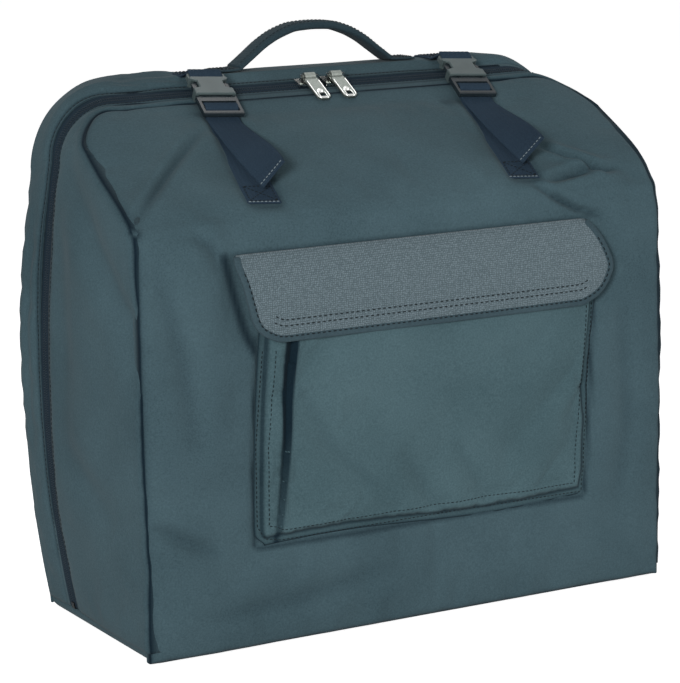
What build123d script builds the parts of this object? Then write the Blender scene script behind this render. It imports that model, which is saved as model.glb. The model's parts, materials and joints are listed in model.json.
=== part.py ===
"""Soft padded bag-type case for a piano accordion, as separate pieces.

Frame, in millimetres: +X to the right, -Y the front, +Z up, origin on the ground at the
middle of the base. The front half has an upright front with a pocket and a sloping top
panel. The shallow rear half is the lid: it carries the handle, closes with a zip over the
top and down both sides, and hinges on the fabric along its bottom rear edge. Two webbing
straps with side-release buckles cross the zip.
"""
from build123d import *
import math
import os

# ---- the whole case ----
CASE_WIDTH = 500.0
CASE_DEPTH = 220.0
FRONT_HEIGHT = 358.0      # upright part of the front
SLOPE_RUN = 137.0         # the sloping panel, front to back
SLOPE_RISE = 81.0
ZIP_SETBACK = 20.0        # zip centre behind the slope's top edge
TOP_BAND_RISE = 7.0       # from the slope's top edge to the zip
CREST_SETBACK = 24.0      # crest of the lid behind the zip
CREST_RISE = 12.0
SIDE_BULGE = 18.0         # how far the padded sides swell at the zip
BULGE_AT_FRONT = 1.2
BULGE_AT_SLOPE = 12.5
BULGE_AT_BAND = 16.0
BULGE_AT_BACK = 11.0
BASE_CORNER = 10.0        # radius of the lower side corners
FOOT_RADIUS = 8.0         # lower front edge
BEND_RADIUS = 12.0        # where the front turns into the slope
FRONT_CORNER = 6.0        # top corner radius at the front
SLOPE_CORNER = 14.0       # and half-way up the slope
TIGHTEST_CORNER = 2.0     # least radius of the inner layers
SEAM_CORNER = 40.0        # top corner radius at the front seam
ZIP_CORNER = 53.0         # top corner radius at the zip
BACK_CORNER = 75.0        # top corner radius at the back
BACK_EDGE = 8.0           # softening of the rear outline

# ---- layers ----
PAD = 12.0                # padded wall
LINING = 2.0
BOARD = 2.0               # plastic stiffener
BOARD_MARGIN = 35.0       # from the walls to the stiffener's edge
SOFT_GAP = 0.3            # between pieces that move apart
FLOOR_CLEAR = 1.0         # floor lining inside the lid's sides, which rise past it
HINGE_FOLD = 2.7          # thickness of the folded fabric that hinges the lid

# ---- zip ----
TAPE_HALF = 13.5          # one tape, from the gusset to the zip's centre
TAPE_DEPTH = 1.0          # the tape lies this far below the padding
TAPE = 1.6
COIL_WIDTH = 2.4
COIL_TOP = 0.2
COIL = 3.2
COIL_GAP = 0.8            # half the slot between the two coils
END_STOP = 5.5
STOP_DEPTH = 0.01         # the end stops all but reach the padding's face
SLIDER_LONG = 23.0
SLIDER_WIDE = 15.0
SLIDER_PLATE = 2.2
SLIDER_FLANGE = 1.4
SLIDER_POST = 6.0
SLIDER_NOSE = 5.5         # half width of the closed end
SLIDER_CORNER = 1.2
SLIDER_PLACES = {"left": -10.0, "right": 16.0}
BRIDGE_SPAN = 14.0
BRIDGE_ROD = 1.5
BRIDGE_RISE = 4.2         # rod centre over the slider's top plate
PULL_EYE = 3.6
PULL_CLEAR = 0.4
PULL_WIDE = 13.0
PULL_LONG = 34.0
PULL = 1.8
PULL_NECK = 2.3           # the blade starts this far from the eye's axis
PULL_SHOULDER = 3.0
PULL_TIP = 3.0            # chamfered end, along the pull
PULL_TIP_IN = 3.2         # and across it
PULL_RIM = 2.8            # metal round the end window
PULL_WINDOW = 5.6

# ---- pocket and flap ----
POCKET_LEFT = -155.0
POCKET_RIGHT = 168.0
POCKET_LOW = 87.0
POCKET_HEIGHT = 209.0
POCKET_LEAN = 14.0        # how far the right edge leans out at the top
POCKET_DEPTH = 10.0
POCKET_WALL = 2.0
POCKET_CORNER = 15.0
PLEAT_INSET = 27.0        # bellows strip beside the left edge
PLEAT_LEAN = 25.0
PLEAT_STEP = 4.0          # the strip lies this much behind the main face
FLAP_TOP = 330.0
FLAP_LOW = 258.0
FLAP_LEFT = -170.0
FLAP_RIGHT = 175.0
FLAP_SIDE_LEAN = 18.0
FLAP_LOW_LEAN = 5.4       # lower right corner, out from the top
FLAP_WIDEST = 32.4        # height of the widest point over the lower edge
FLAP_CORNER = 20.0
FLAP = 2.5
FLAP_ROOT = 1.8           # rolled edge that the flap turns on
FLAP_STANDOFF = 2.3       # flap's turning line in front of the panel
PATCH = 0.8               # one half of the hook-and-loop fastening
PATCH_LONG = 220.0
PATCH_TALL = 20.0
PATCH_DROP = 5.0
PATCH_GAP = 0.7           # between the closed halves
BINDING = 0.8
BINDING_WIDE = 7.0
BINDING_DROP = 5.4        # the binding starts this far below the turning line

# ---- straps and buckles, laid out on the sloping panel ----
STRAP_PLACES = {"left": -128.5, "right": 121.0}
STRAP_LEAN = 6.5          # degrees, tops towards +X
STRAP_START = 17.4        # sewn end above the bend
STRAP_RUN = 114.0         # sewn end to the buckle's lower edge
WEBBING = 1.6
WEBBING_WIDE = 30.0
TAIL_RUN = 74.0
TAIL_TWIST = 65.0
TAIL_LIFT = 20.0
TAIL_DRIFT = 7.0
TAIL_STEPS = 8
TAIL_CURL = 1.3           # above 1, the twist gathers towards the end
BUCKLE_WIDE = 36.0
BUCKLE_SIDE = 2.5
BUCKLE_BAR = 4.0
BUCKLE_SLOT = 5.0
BUCKLE_EDGE = 1.2         # rounding of the lower bar
BUCKLE_LIFT = 4.3         # frame above the panel, over both layers of webbing
BUCKLE_THICK = 4.4
MALE_BLOCK = 8.0
FEMALE_LONG = 32.0
FEMALE_WALL = 2.2
FEMALE_WAIST = 11.5
FEMALE_SLOT = 4.0
FEMALE_CORNER = 2.0
FEMALE_BEVEL = 0.7
MOUTH_LONG = 8.0
MOUTH_TAPER = 0.5         # the mouth's sides draw in by this
WAIST_TAPER = 2.0
SHOULDER_IN = 1.0         # the far end is this much narrower each side
PRONG_LONG = 21.0
PRONG_WIDE = 3.0
PRONG_HEAD = 7.5
PRONG_ROOT = 2.2
PRONG_CLEAR = 0.3
PRONG_TIP_CLEAR = 0.8
PRONG_SPREAD = 11.0
PRONG_THIN = 0.4          # thinner than the frame, each face
CATCH_GAP = 1.2           # catch behind the mouth's edge
CATCH_OUT = 1.0           # press pad beyond the mouth's inner wall
CATCH_IN = 1.2            # arm inside the same wall, before the catch
CATCH_LEAD = 0.4
GUIDE_WIDE = 4.4
GUIDE_LONG = 16.0
GUIDE_THIN = 0.6
GUIDE_NOSE = 1.8
STRAP_SEAT = 25.0         # length sewn to the lid

# ---- handle ----
HANDLE_LEFT = -62.0
HANDLE_RIGHT = 89.0
HANDLE_RISE = 36.0        # crown's centreline over the crest
HANDLE_SHOULDER = 21.0
HANDLE_TAPER = 24.0       # shoulders inside the ends
HANDLE_THICK = 5.5
HANDLE_WIDE = 26.0
ANCHOR_LONG = 24.0
ANCHOR_START = 2.2        # the sewn end starts this far outside the arch's foot

# ---- worked out from the above ----
FRONT_Y = -CASE_DEPTH / 2
BACK_Y = CASE_DEPTH / 2
SLOPE_TOP_Y = FRONT_Y + SLOPE_RUN
SLOPE_TOP_Z = FRONT_HEIGHT + SLOPE_RISE
SLOPE_ANGLE = math.atan2(SLOPE_RISE, SLOPE_RUN)
ZIP_Y = SLOPE_TOP_Y + ZIP_SETBACK
ZIP_Z = SLOPE_TOP_Z + TOP_BAND_RISE
CREST_Y = ZIP_Y + CREST_SETBACK
CREST_Z = ZIP_Z + CREST_RISE
BACK_FACE = BACK_Y - PAD
BAND_SLOPE = TOP_BAND_RISE / ZIP_SETBACK
INNER = PAD + LINING
SLIDER_TOP = COIL_GAP + SLIDER_PLATE - COIL_TOP     # slider's upper face over the zip
LOW_SLOT = STRAP_RUN + BUCKLE_BAR                   # along the strap, from its sewn end
MID_BAR = LOW_SLOT + BUCKLE_SLOT
HIGH_SLOT = MID_BAR + BUCKLE_BAR
BLOCK_START = HIGH_SLOT + BUCKLE_SLOT
MOUTH = BLOCK_START + MALE_BLOCK
PRONG_TIP = MOUTH + PRONG_LONG
END_SLOT = PRONG_TIP + PRONG_TIP_CLEAR + FEMALE_WALL
BUCKLE_TOP = BUCKLE_LIFT + BUCKLE_THICK
REACH = CASE_WIDTH                                  # beyond the case on every side
SKY = CREST_Z + CASE_DEPTH


def slope_height(y, inset=0.0):
    """Height of the sloping panel's plane, moved inwards by inset."""
    rise = (y - FRONT_Y) * math.tan(SLOPE_ANGLE)
    return FRONT_HEIGHT + rise - inset / math.cos(SLOPE_ANGLE)


def block(x0, x1, y0, y1, z0, z1):
    """Box between two corners."""
    middle = Pos((x0 + x1) / 2, (y0 + y1) / 2, (z0 + z1) / 2)
    return middle * Box(x1 - x0, y1 - y0, z1 - z0)


def across(points, x0=-REACH, x1=REACH):
    """Outline of (y, z) points, run across the case from x0 to x1."""
    face = make_face(Polyline(*points, close=True))
    return extrude(Plane.YZ.offset(x0) * face, amount=x1 - x0)


def facing(face, y0, y1):
    """Face drawn in (x, z), made solid between two depths."""
    return extrude(Plane.XZ.offset(-y1) * face, amount=y1 - y0)


def prism(points, low, high):
    """Outline of (a, b) points, made solid from low to high."""
    return extrude(Pos(0, 0, low) * make_face(Polyline(*points, close=True)), amount=high - low)


def near(shape, x, y, z=0.0):
    """The vertex of a shape nearest to a point."""
    return shape.vertices().sort_by_distance(Vector(x, y, z))[0]


def strip(points, below, above):
    """Outline of a bent strip of fabric: a path with mitred offsets below and above it."""
    def side(shift):
        moved = []
        for i, (p, q) in enumerate(points):
            before = points[max(i - 1, 0)]
            after = points[min(i + 1, len(points) - 1)]
            normals = []
            for start, end in ((before, (p, q)), ((p, q), after)):
                run = math.dist(start, end)
                if run > 0:
                    normals.append(((start[1] - end[1]) / run, (end[0] - start[0]) / run))
            (a, b), (c, d) = normals[0], normals[-1]
            share = shift / (1 + a * c + b * d)
            moved.append((p + share * (a + c), q + share * (b + d)))
        return moved
    return side(-below) + side(above)[::-1]


def twisted(slices):
    """Solid through four-cornered slices, closed with flat three-cornered facets."""
    faces = [Face(Wire.make_polygon(slices[0])), Face(Wire.make_polygon(slices[-1]))]
    for before, after in zip(slices, slices[1:]):
        sides = [[before[i - 1], before[i], after[i], after[i - 1]] for i in range(len(before))]
        top = sides.pop()
        sides.append(top[1:] + top[:1])    # halved along the same diagonal as the underside
        for a, b, c, d in sides:
            faces += [Face(Wire.make_polygon([a, b, c])), Face(Wire.make_polygon([a, c, d]))]
    return Solid(Shell(faces))


# ---- the padded shell ----
def case_section(y, bulge, top, corner, shrink, inset):
    """Upright slice through the case at depth y; the inner layers have flat sides."""
    half = CASE_WIDTH / 2 - shrink - inset
    high = top - inset
    padded = inset < PAD
    round_top = max(corner - inset, TIGHTEST_CORNER)
    round_low = BASE_CORNER - inset if padded else 0
    diagonal = 1 - math.sqrt(0.5)
    middle = (inset + high) / 2
    edges = [Line((round_low - half, inset), (half - round_low, inset))]
    edges.append(Line((half - round_top, high), (round_top - half, high)))
    for s in (-1, 1):
        low_end = (s * half, inset + round_low)
        high_end = (s * half, high - round_top)
        if padded:
            edges.append(ThreePointArc(
                (s * (half - round_low), inset),
                (s * (half - diagonal * round_low), inset + diagonal * round_low), low_end))
            edges.append(ThreePointArc(low_end, (s * (half + bulge), middle), high_end))
        else:
            edges.append(Line(low_end, high_end))
        edges.append(ThreePointArc(
            high_end, (s * (half - diagonal * round_top), high - diagonal * round_top),
            (s * (half - round_top), high)))
    return Plane.XZ.offset(-y) * make_face(edges)


def case_stations(inset):
    """Depth, side bulge, top height, corner radius and shrink of each slice."""
    seam_start = SLOPE_TOP_Y - SEAM_CORNER
    slices = [
        (FRONT_Y, BULGE_AT_FRONT, SLOPE_TOP_Z - SLOPE_RUN * BAND_SLOPE, FRONT_CORNER, 0.0),
        (seam_start, BULGE_AT_SLOPE, SLOPE_TOP_Z - SEAM_CORNER * BAND_SLOPE, SLOPE_CORNER, 0.0),
        (SLOPE_TOP_Y, BULGE_AT_BAND, SLOPE_TOP_Z, SEAM_CORNER, 0.0),
        (ZIP_Y, SIDE_BULGE, ZIP_Z, ZIP_CORNER, 0.0),
        (ZIP_Y + TAPE_HALF, SIDE_BULGE, ZIP_Z + TAPE_HALF * BAND_SLOPE, ZIP_CORNER, 0.0),
        (CREST_Y, SIDE_BULGE, CREST_Z, (ZIP_CORNER + BACK_CORNER) / 2, 0.0),
        (BACK_FACE, BULGE_AT_BAND, CREST_Z, BACK_CORNER, 0.0),
        (BACK_Y, BULGE_AT_BACK, CREST_Z - BACK_EDGE, BACK_CORNER, BACK_EDGE),
    ]
    inner_slices = (FRONT_Y, SLOPE_TOP_Y, CREST_Y, BACK_FACE)
    return [s for s in slices if inset < PAD or s[0] in inner_slices]


def case_body(inset):
    """The case as one solid, with every face moved inwards by inset."""
    body = loft([case_section(*station, inset) for station in case_stations(inset)], ruled=True)
    front = FRONT_Y + inset
    bend = slope_height(front, inset)
    outline = make_face(Polyline(
        (front, inset), (front, bend), (BACK_Y, slope_height(BACK_Y, inset)),
        (BACK_Y, SKY), (BACK_Y - inset, SKY), (BACK_Y - inset, inset), close=True)
        if inset > 0 else Polyline(
        (front, 0), (front, bend), (BACK_Y, slope_height(BACK_Y)), (BACK_Y, 0), close=True))
    if inset == 0:
        outline = fillet(near(outline, front, 0), FOOT_RADIUS)
        outline = fillet(near(outline, front, bend), BEND_RADIUS)
    return body & extrude(Plane.YZ.offset(-REACH) * outline, amount=2 * REACH)


def behind_front(y_end, low):
    """Everything behind the padded front and sloping panel, down to low."""
    back_of_panel = FRONT_Y + PAD
    return across([
        (back_of_panel, low), (y_end, low), (y_end, SKY), (SLOPE_TOP_Y, SKY),
        (SLOPE_TOP_Y, slope_height(SLOPE_TOP_Y, PAD)),
        (back_of_panel, slope_height(back_of_panel, PAD))])


def centred(width, y0, y1, z0, z1):
    """Box of a given width about the middle of the case."""
    return block(-width / 2, width / 2, y0, y1, z0, z1)


def shell_parts(outer, middle, inner):
    """Padded panels, boards and linings of both halves."""
    wall = outer - middle
    gusset_end = ZIP_Y - TAPE_HALF
    lid_start = ZIP_Y + TAPE_HALF
    base_end = BACK_FACE - SOFT_GAP
    board_width = CASE_WIDTH - 2 * BOARD_MARGIN
    base_board = centred(
        board_width, FRONT_Y + BOARD_MARGIN, BACK_Y - BOARD_MARGIN, PAD - BOARD, PAD)
    back_board = centred(
        board_width - BACK_CORNER, BACK_FACE, BACK_FACE + BOARD,
        BOARD_MARGIN, CREST_Z - BACK_CORNER)
    front_slab = outer & block(-REACH, REACH, FRONT_Y, SLOPE_TOP_Y, 0, SKY)
    back_slab = block(-REACH, REACH, BACK_FACE, BACK_Y, HINGE_FOLD + SOFT_GAP, SKY)
    lining = middle - inner
    lining_front = block(-REACH, REACH, FRONT_Y, gusset_end, 0, SKY)
    floor_width = CASE_WIDTH - 2 * (PAD + FLOOR_CLEAR)
    lining_floor = centred(floor_width, FRONT_Y, base_end - LINING, 0, INNER)
    return {
        "front_panel": front_slab - behind_front(SLOPE_TOP_Y + PAD, -PAD),
        "front_gusset": wall & behind_front(gusset_end, PAD),
        "base_panel": (outer & block(-REACH, REACH, FRONT_Y + PAD, base_end, 0, PAD)) - base_board,
        "base_board": base_board,
        "front_lining": lining & (lining_front + lining_floor),
        "hinge_fold": outer & centred(
            CASE_WIDTH - 2 * PAD, base_end, BACK_Y, 0, HINGE_FOLD),
        "back_panel": (outer & back_slab) - back_board,
        "back_board": back_board,
        "lid_gusset": wall & block(
            -REACH, REACH, lid_start, BACK_FACE, PAD + SOFT_GAP, SKY),
        "lid_lining": lining & block(
            -REACH, REACH, lid_start, BACK_Y, INNER + SOFT_GAP, SKY),
    }


# ---- zip ----
def zip_parts():
    """Both tapes with their coils, and the stops at the bottom ends."""
    tape = case_body(TAPE_DEPTH) - case_body(TAPE_DEPTH + TAPE)
    coil = case_body(COIL_TOP) - case_body(COIL_TOP + COIL)
    stop = case_body(STOP_DEPTH) - case_body(COIL_TOP + COIL)
    coil_in = COIL_GAP + COIL_WIDTH
    front_low = PAD + END_STOP
    lid_low = front_low + SOFT_GAP
    return {
        "front_zip_tape": tape & block(
            -REACH, REACH, ZIP_Y - TAPE_HALF, ZIP_Y - coil_in, PAD, SKY),
        "front_zip_coil": coil & block(
            -REACH, REACH, ZIP_Y - coil_in, ZIP_Y - COIL_GAP, front_low, SKY),
        "lid_zip_tape": tape & block(
            -REACH, REACH, ZIP_Y + coil_in, ZIP_Y + TAPE_HALF, lid_low, SKY),
        "lid_zip_coil": coil & block(
            -REACH, REACH, ZIP_Y + COIL_GAP, ZIP_Y + coil_in, lid_low, SKY),
        "zip_end_stops": stop & block(
            -REACH, REACH, ZIP_Y - coil_in, ZIP_Y + COIL_WIDTH, PAD, front_low),
    }


def zip_plane(x):
    """Working plane on the top of the zip: local x along it, local y to the back."""
    tilt = math.atan(BAND_SLOPE)
    return Plane((x, ZIP_Y, ZIP_Z), x_dir=(1, 0, 0), z_dir=(0, -math.sin(tilt), math.cos(tilt)))


def slider(open_side):
    """Zip slider: two plates, a post on the open side, flanges and the pull's bridge."""
    half_long = SLIDER_LONG / 2
    half_wide = SLIDER_WIDE / 2
    low = -(COIL_TOP + COIL + COIL_GAP)
    channel_top = SLIDER_TOP - SLIDER_PLATE
    nose = -half_long * open_side
    tail = half_long * open_side
    face = make_face(Polyline(
        (nose, -SLIDER_NOSE), (0, -half_wide), (tail, -half_wide),
        (tail, half_wide), (0, half_wide), (nose, SLIDER_NOSE), close=True))
    face = fillet(face.vertices(), SLIDER_CORNER)
    body = extrude(Pos(0, 0, channel_top) * face, amount=SLIDER_PLATE)
    body += extrude(Pos(0, 0, low - SLIDER_PLATE) * face, amount=SLIDER_PLATE)
    flange_in = half_wide - SLIDER_FLANGE
    for s in (-1, 1):
        edge = sorted((s * flange_in, s * half_wide))
        run = sorted((0, half_long * open_side))
        body += block(*run, *edge, -TAPE_DEPTH + SOFT_GAP, channel_top + SOFT_GAP)
        body += block(*run, *edge, low - SOFT_GAP, -(TAPE_DEPTH + TAPE + SOFT_GAP))
    post_start = half_long - SLIDER_POST
    run = sorted((post_start * open_side, half_long * open_side))
    thin = COIL_GAP - SOFT_GAP
    foot = low - SOFT_GAP
    head = channel_top + SOFT_GAP
    upright = BAND_SLOPE
    body += across([(foot * upright - thin, foot), (foot * upright + thin, foot),
                    (head * upright + thin, head), (head * upright - thin, head)], *run)
    rod_height = SLIDER_TOP + BRIDGE_RISE
    rod = Pos(0, 0, rod_height) * Rot(0, 90, 0) * Cylinder(BRIDGE_ROD, BRIDGE_SPAN)
    for s in (-1, 1):
        leg_x = s * (BRIDGE_SPAN / 2)
        rod += block(leg_x - BRIDGE_ROD, leg_x + BRIDGE_ROD, -BRIDGE_ROD, BRIDGE_ROD,
                     SLIDER_TOP - SOFT_GAP, rod_height + BRIDGE_ROD)
    return body + rod


def pull_tab():
    """Pull drawn with its eye's axis along X and its blade towards -Y, with an end hole."""
    eye_inner = BRIDGE_ROD + PULL_CLEAR
    half = PULL_WIDE / 2
    eye_half = BRIDGE_SPAN / 2 - BRIDGE_ROD - PULL_CLEAR
    eye = Rot(0, 90, 0) * Cylinder(PULL_EYE, 2 * eye_half)
    shoulder = -PULL_EYE - PULL_SHOULDER
    right = [(eye_half, -PULL_NECK), (half, shoulder), (half, PULL_TIP - PULL_LONG),
             (half - PULL_TIP_IN, -PULL_LONG)]
    blade = prism(right + [(-a, b) for a, b in right[::-1]], -PULL / 2, PULL / 2)
    window_low = PULL_RIM - PULL_LONG
    window = block(PULL_RIM - half, half - PULL_RIM, window_low, window_low + PULL_WINDOW, -PULL, PULL)
    return (eye + blade - window) - Rot(0, 90, 0) * Cylinder(eye_inner, SLIDER_LONG)


def slider_parts():
    """Both sliders, meeting nose to nose, and their pulls hanging down the slope."""
    parts = {}
    for side, x in SLIDER_PLACES.items():
        open_side = 1 if side == "left" else -1
        plane = zip_plane(x)
        rod = plane.from_local_coords(Vector(0, 0, SLIDER_TOP + BRIDGE_RISE))
        hang = Plane(rod, x_dir=(1, 0, 0),
                     z_dir=(0, -math.sin(SLOPE_ANGLE), math.cos(SLOPE_ANGLE)))
        parts[side + "_zip_slider"] = plane * slider(open_side)
        parts[side + "_zip_pull"] = hang * pull_tab()
        print(side, "pull turns about y, z =", round(rod.Y, 3), round(rod.Z, 3))
    return parts


# ---- pocket and flap ----
def pocket_outline(left_low, left_high, right_low, right_high, low, high):
    return make_face(Polyline(
        (left_low, low), (right_low, low), (right_high, high), (left_high, high), close=True))


def pocket_panel():
    """Patch pocket with a raised main face and a lower bellows strip on its left."""
    high = POCKET_LOW + POCKET_HEIGHT
    right_high = POCKET_RIGHT + POCKET_LEAN
    pleat_low = POCKET_LEFT + PLEAT_INSET
    pleat_high = pleat_low + PLEAT_LEAN
    step_depth = POCKET_DEPTH - PLEAT_STEP
    wall = POCKET_WALL
    main = facing(pocket_outline(
        pleat_low, pleat_high, POCKET_RIGHT, right_high, POCKET_LOW, high),
        FRONT_Y - POCKET_DEPTH, FRONT_Y)
    main = fillet(main.edges().group_by(Axis.Y)[0].sort_by(Axis.Z)[:-1], wall)
    side_face = pocket_outline(
        POCKET_LEFT, POCKET_LEFT, pleat_low + wall, pleat_high + wall, POCKET_LOW, high)
    side_face = fillet(near(side_face, POCKET_LEFT, POCKET_LOW), POCKET_CORNER)
    side = facing(side_face, FRONT_Y - step_depth, FRONT_Y)
    hollow = facing(pocket_outline(
        pleat_low + wall, pleat_high + wall, POCKET_RIGHT - wall, right_high - wall,
        POCKET_LOW + wall, high + wall),
        FRONT_Y - POCKET_DEPTH + wall, FRONT_Y)
    side_hollow = pocket_outline(
        POCKET_LEFT + wall, POCKET_LEFT + wall, pleat_low + 2 * wall, pleat_high + 2 * wall,
        POCKET_LOW + wall, high + wall)
    side_hollow = fillet(
        near(side_hollow, POCKET_LEFT + wall, POCKET_LOW + wall), POCKET_CORNER - wall)
    return main + side - hollow - facing(side_hollow, FRONT_Y - step_depth + wall, FRONT_Y)


def flap_outline(grow):
    """Front view of the flap, with its side and lower edges moved out by grow."""
    left_low = FLAP_LEFT + FLAP_SIDE_LEAN - grow
    right_low = FLAP_RIGHT + FLAP_LOW_LEAN + grow
    face = make_face(Polyline(
        (FLAP_LEFT - grow, FLAP_TOP + FLAP_CORNER),
        (FLAP_LEFT - grow, FLAP_TOP - FLAP_ROOT),
        (left_low, FLAP_LOW - grow), (right_low, FLAP_LOW - grow),
        (FLAP_RIGHT + FLAP_SIDE_LEAN + grow, FLAP_LOW + FLAP_WIDEST),
        (FLAP_RIGHT + grow, FLAP_TOP - FLAP_ROOT),
        (FLAP_RIGHT + grow, FLAP_TOP + FLAP_CORNER), close=True))
    face = fillet(near(face, left_low, FLAP_LOW - grow), FLAP_CORNER)
    return fillet(near(face, right_low, FLAP_LOW - grow), FLAP_CORNER)


def flap_parts():
    """Flap over the pocket, its bound edge, and the hook-and-loop patches."""
    axis_y = FRONT_Y - FLAP_STANDOFF
    pocket_face = FRONT_Y - POCKET_DEPTH
    centre = pocket_face - 2 * PATCH - PATCH_GAP - FLAP / 2
    knee = POCKET_LOW + POCKET_HEIGHT + PATCH_DROP
    path = [(axis_y, FLAP_TOP), (centre, knee), (centre, FLAP_LOW - FLAP)]
    thick = across(strip(path, FLAP / 2, FLAP / 2))
    bound = across(strip(path, FLAP / 2 + BINDING, FLAP / 2 + BINDING))
    depths = (centre - CASE_DEPTH / 4, FRONT_Y)
    outline = facing(flap_outline(0), *depths)
    root = Pos((FLAP_LEFT + FLAP_RIGHT) / 2, axis_y, FLAP_TOP) * Rot(0, 90, 0) * Cylinder(
        FLAP_ROOT, FLAP_RIGHT - FLAP_LEFT)
    panel = (thick & outline) + root
    ring = facing(flap_outline(BINDING), *depths) - facing(flap_outline(-BINDING_WIDE), *depths)
    below_root = block(-REACH, REACH, centre - FLAP_CORNER, FRONT_Y, 0, FLAP_TOP - BINDING_DROP)
    patch_x = (POCKET_LEFT + PLEAT_INSET + PLEAT_LEAN + POCKET_RIGHT) / 2
    patch_high = POCKET_LOW + POCKET_HEIGHT - PATCH_DROP
    patch_ends = (patch_x - PATCH_LONG / 2, patch_x + PATCH_LONG / 2)
    patch_low = patch_high - PATCH_TALL
    hook_back = centre + FLAP / 2
    print("flap turns about y, z =", axis_y, FLAP_TOP)
    return {
        "flap_panel": panel,
        "flap_binding": (bound & ring & below_root) - panel,
        "flap_hook_patch": block(*patch_ends, hook_back, hook_back + PATCH, patch_low, patch_high),
        "pocket_loop_patch": block(
            *patch_ends, pocket_face - PATCH, pocket_face, patch_low, patch_high),
    }


# ---- straps ----
def strap_plane(x):
    """Plane on the sloping panel at a strap's sewn end: a across, b up the strap."""
    lean = math.radians(STRAP_LEAN)
    up = (math.cos(SLOPE_ANGLE), math.sin(SLOPE_ANGLE))
    start = (x, FRONT_Y + STRAP_START * up[0], FRONT_HEIGHT + STRAP_START * up[1])
    right = (math.cos(lean), -math.sin(lean) * up[0], -math.sin(lean) * up[1])
    return Plane(start, x_dir=right, z_dir=(0, -up[1], up[0]))


def front_webbing():
    """Webbing from its sewn end, round the buckle's middle bar, to its loose twisted tail."""
    half = WEBBING / 2
    under = WEBBING + SOFT_GAP + half
    over = BUCKLE_TOP + SOFT_GAP + half
    rise = HIGH_SLOT + BUCKLE_SLOT / 2
    drop = LOW_SLOT + BUCKLE_SLOT / 2
    tail_start = STRAP_RUN - BUCKLE_SLOT
    path = [(0, half), (rise, half), (rise, over), (drop, over), (drop, under + half),
            (drop - half, under), (tail_start, under)]
    face = make_face(Polyline(*strip(path, half, half), close=True))
    loop = extrude(Plane.YZ.offset(-WEBBING_WIDE / 2) * face, amount=WEBBING_WIDE)
    slices = []
    for step in range(TAIL_STEPS + 1):
        share = step / TAIL_STEPS
        twist = TAIL_TWIST * share ** TAIL_CURL
        edge_lift = WEBBING_WIDE / 2 * math.sin(math.radians(twist))
        lift = under + edge_lift + (TAIL_LIFT - WEBBING_WIDE / 2) * share
        place = Plane.XZ.offset(TAIL_RUN * share - tail_start)
        turned = Pos(TAIL_DRIFT * share, lift) * Rot(0, 0, twist)
        slices.append([
            (place * turned * Pos(a * WEBBING_WIDE / 2, b * half)).position
            for a, b in ((-1, -1), (1, -1), (1, 1), (-1, 1))])
    return loop + twisted(slices)


def male_buckle():
    """Adjuster frame with two bars, the block in the female's mouth, and the guide tongue."""
    half = BUCKLE_WIDE / 2
    inner = half - BUCKLE_SIDE
    root = MOUTH - SOFT_GAP
    frame = block(-half, half, STRAP_RUN, root, BUCKLE_LIFT, BUCKLE_TOP)
    frame -= block(-inner, inner, LOW_SLOT, MID_BAR, 0, 2 * BUCKLE_TOP)
    frame -= block(-inner, inner, HIGH_SLOT, BLOCK_START, 0, 2 * BUCKLE_TOP)
    frame = fillet(frame.edges().filter_by(Axis.X).group_by(Axis.Y)[0], BUCKLE_EDGE)
    guide = block(-GUIDE_WIDE / 2, GUIDE_WIDE / 2, MOUTH - BUCKLE_SIDE, MOUTH + GUIDE_LONG,
                  BUCKLE_LIFT + GUIDE_THIN, BUCKLE_TOP - GUIDE_THIN)
    guide = fillet(guide.edges().filter_by(Axis.Z).group_by(Axis.Y)[-1], GUIDE_NOSE)
    body = frame + guide
    for s in (-1, 1):
        body -= Pos(s * PRONG_SPREAD, root) * Cylinder(PRONG_ROOT + PRONG_CLEAR, 4 * BUCKLE_TOP)
    return body


def prong(s):
    """One sprung arm of the male half, with its catch and press pad, on side s."""
    root = MOUTH - SOFT_GAP
    inner_wall = BUCKLE_WIDE / 2 - BUCKLE_SIDE
    catch = MOUTH + MOUTH_LONG + CATCH_GAP
    arm_in = PRONG_SPREAD - PRONG_WIDE / 2
    arm_out = PRONG_SPREAD + PRONG_WIDE / 2
    head_in = arm_in + GUIDE_THIN
    head_out = inner_wall + CATCH_OUT
    outline = [(s * arm_in, root), (s * arm_out, root), (s * (inner_wall - CATCH_IN), catch),
               (s * head_out, catch + CATCH_LEAD), (s * head_out, catch + PRONG_HEAD),
               (s * arm_out, PRONG_TIP), (s * head_in, PRONG_TIP), (s * head_in, catch)]
    low = BUCKLE_LIFT + PRONG_THIN
    high = BUCKLE_TOP - PRONG_THIN
    pivot = Pos(s * PRONG_SPREAD, root, (low + high) / 2) * Cylinder(PRONG_ROOT, high - low)
    return prism(outline, low, high) + pivot


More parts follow.
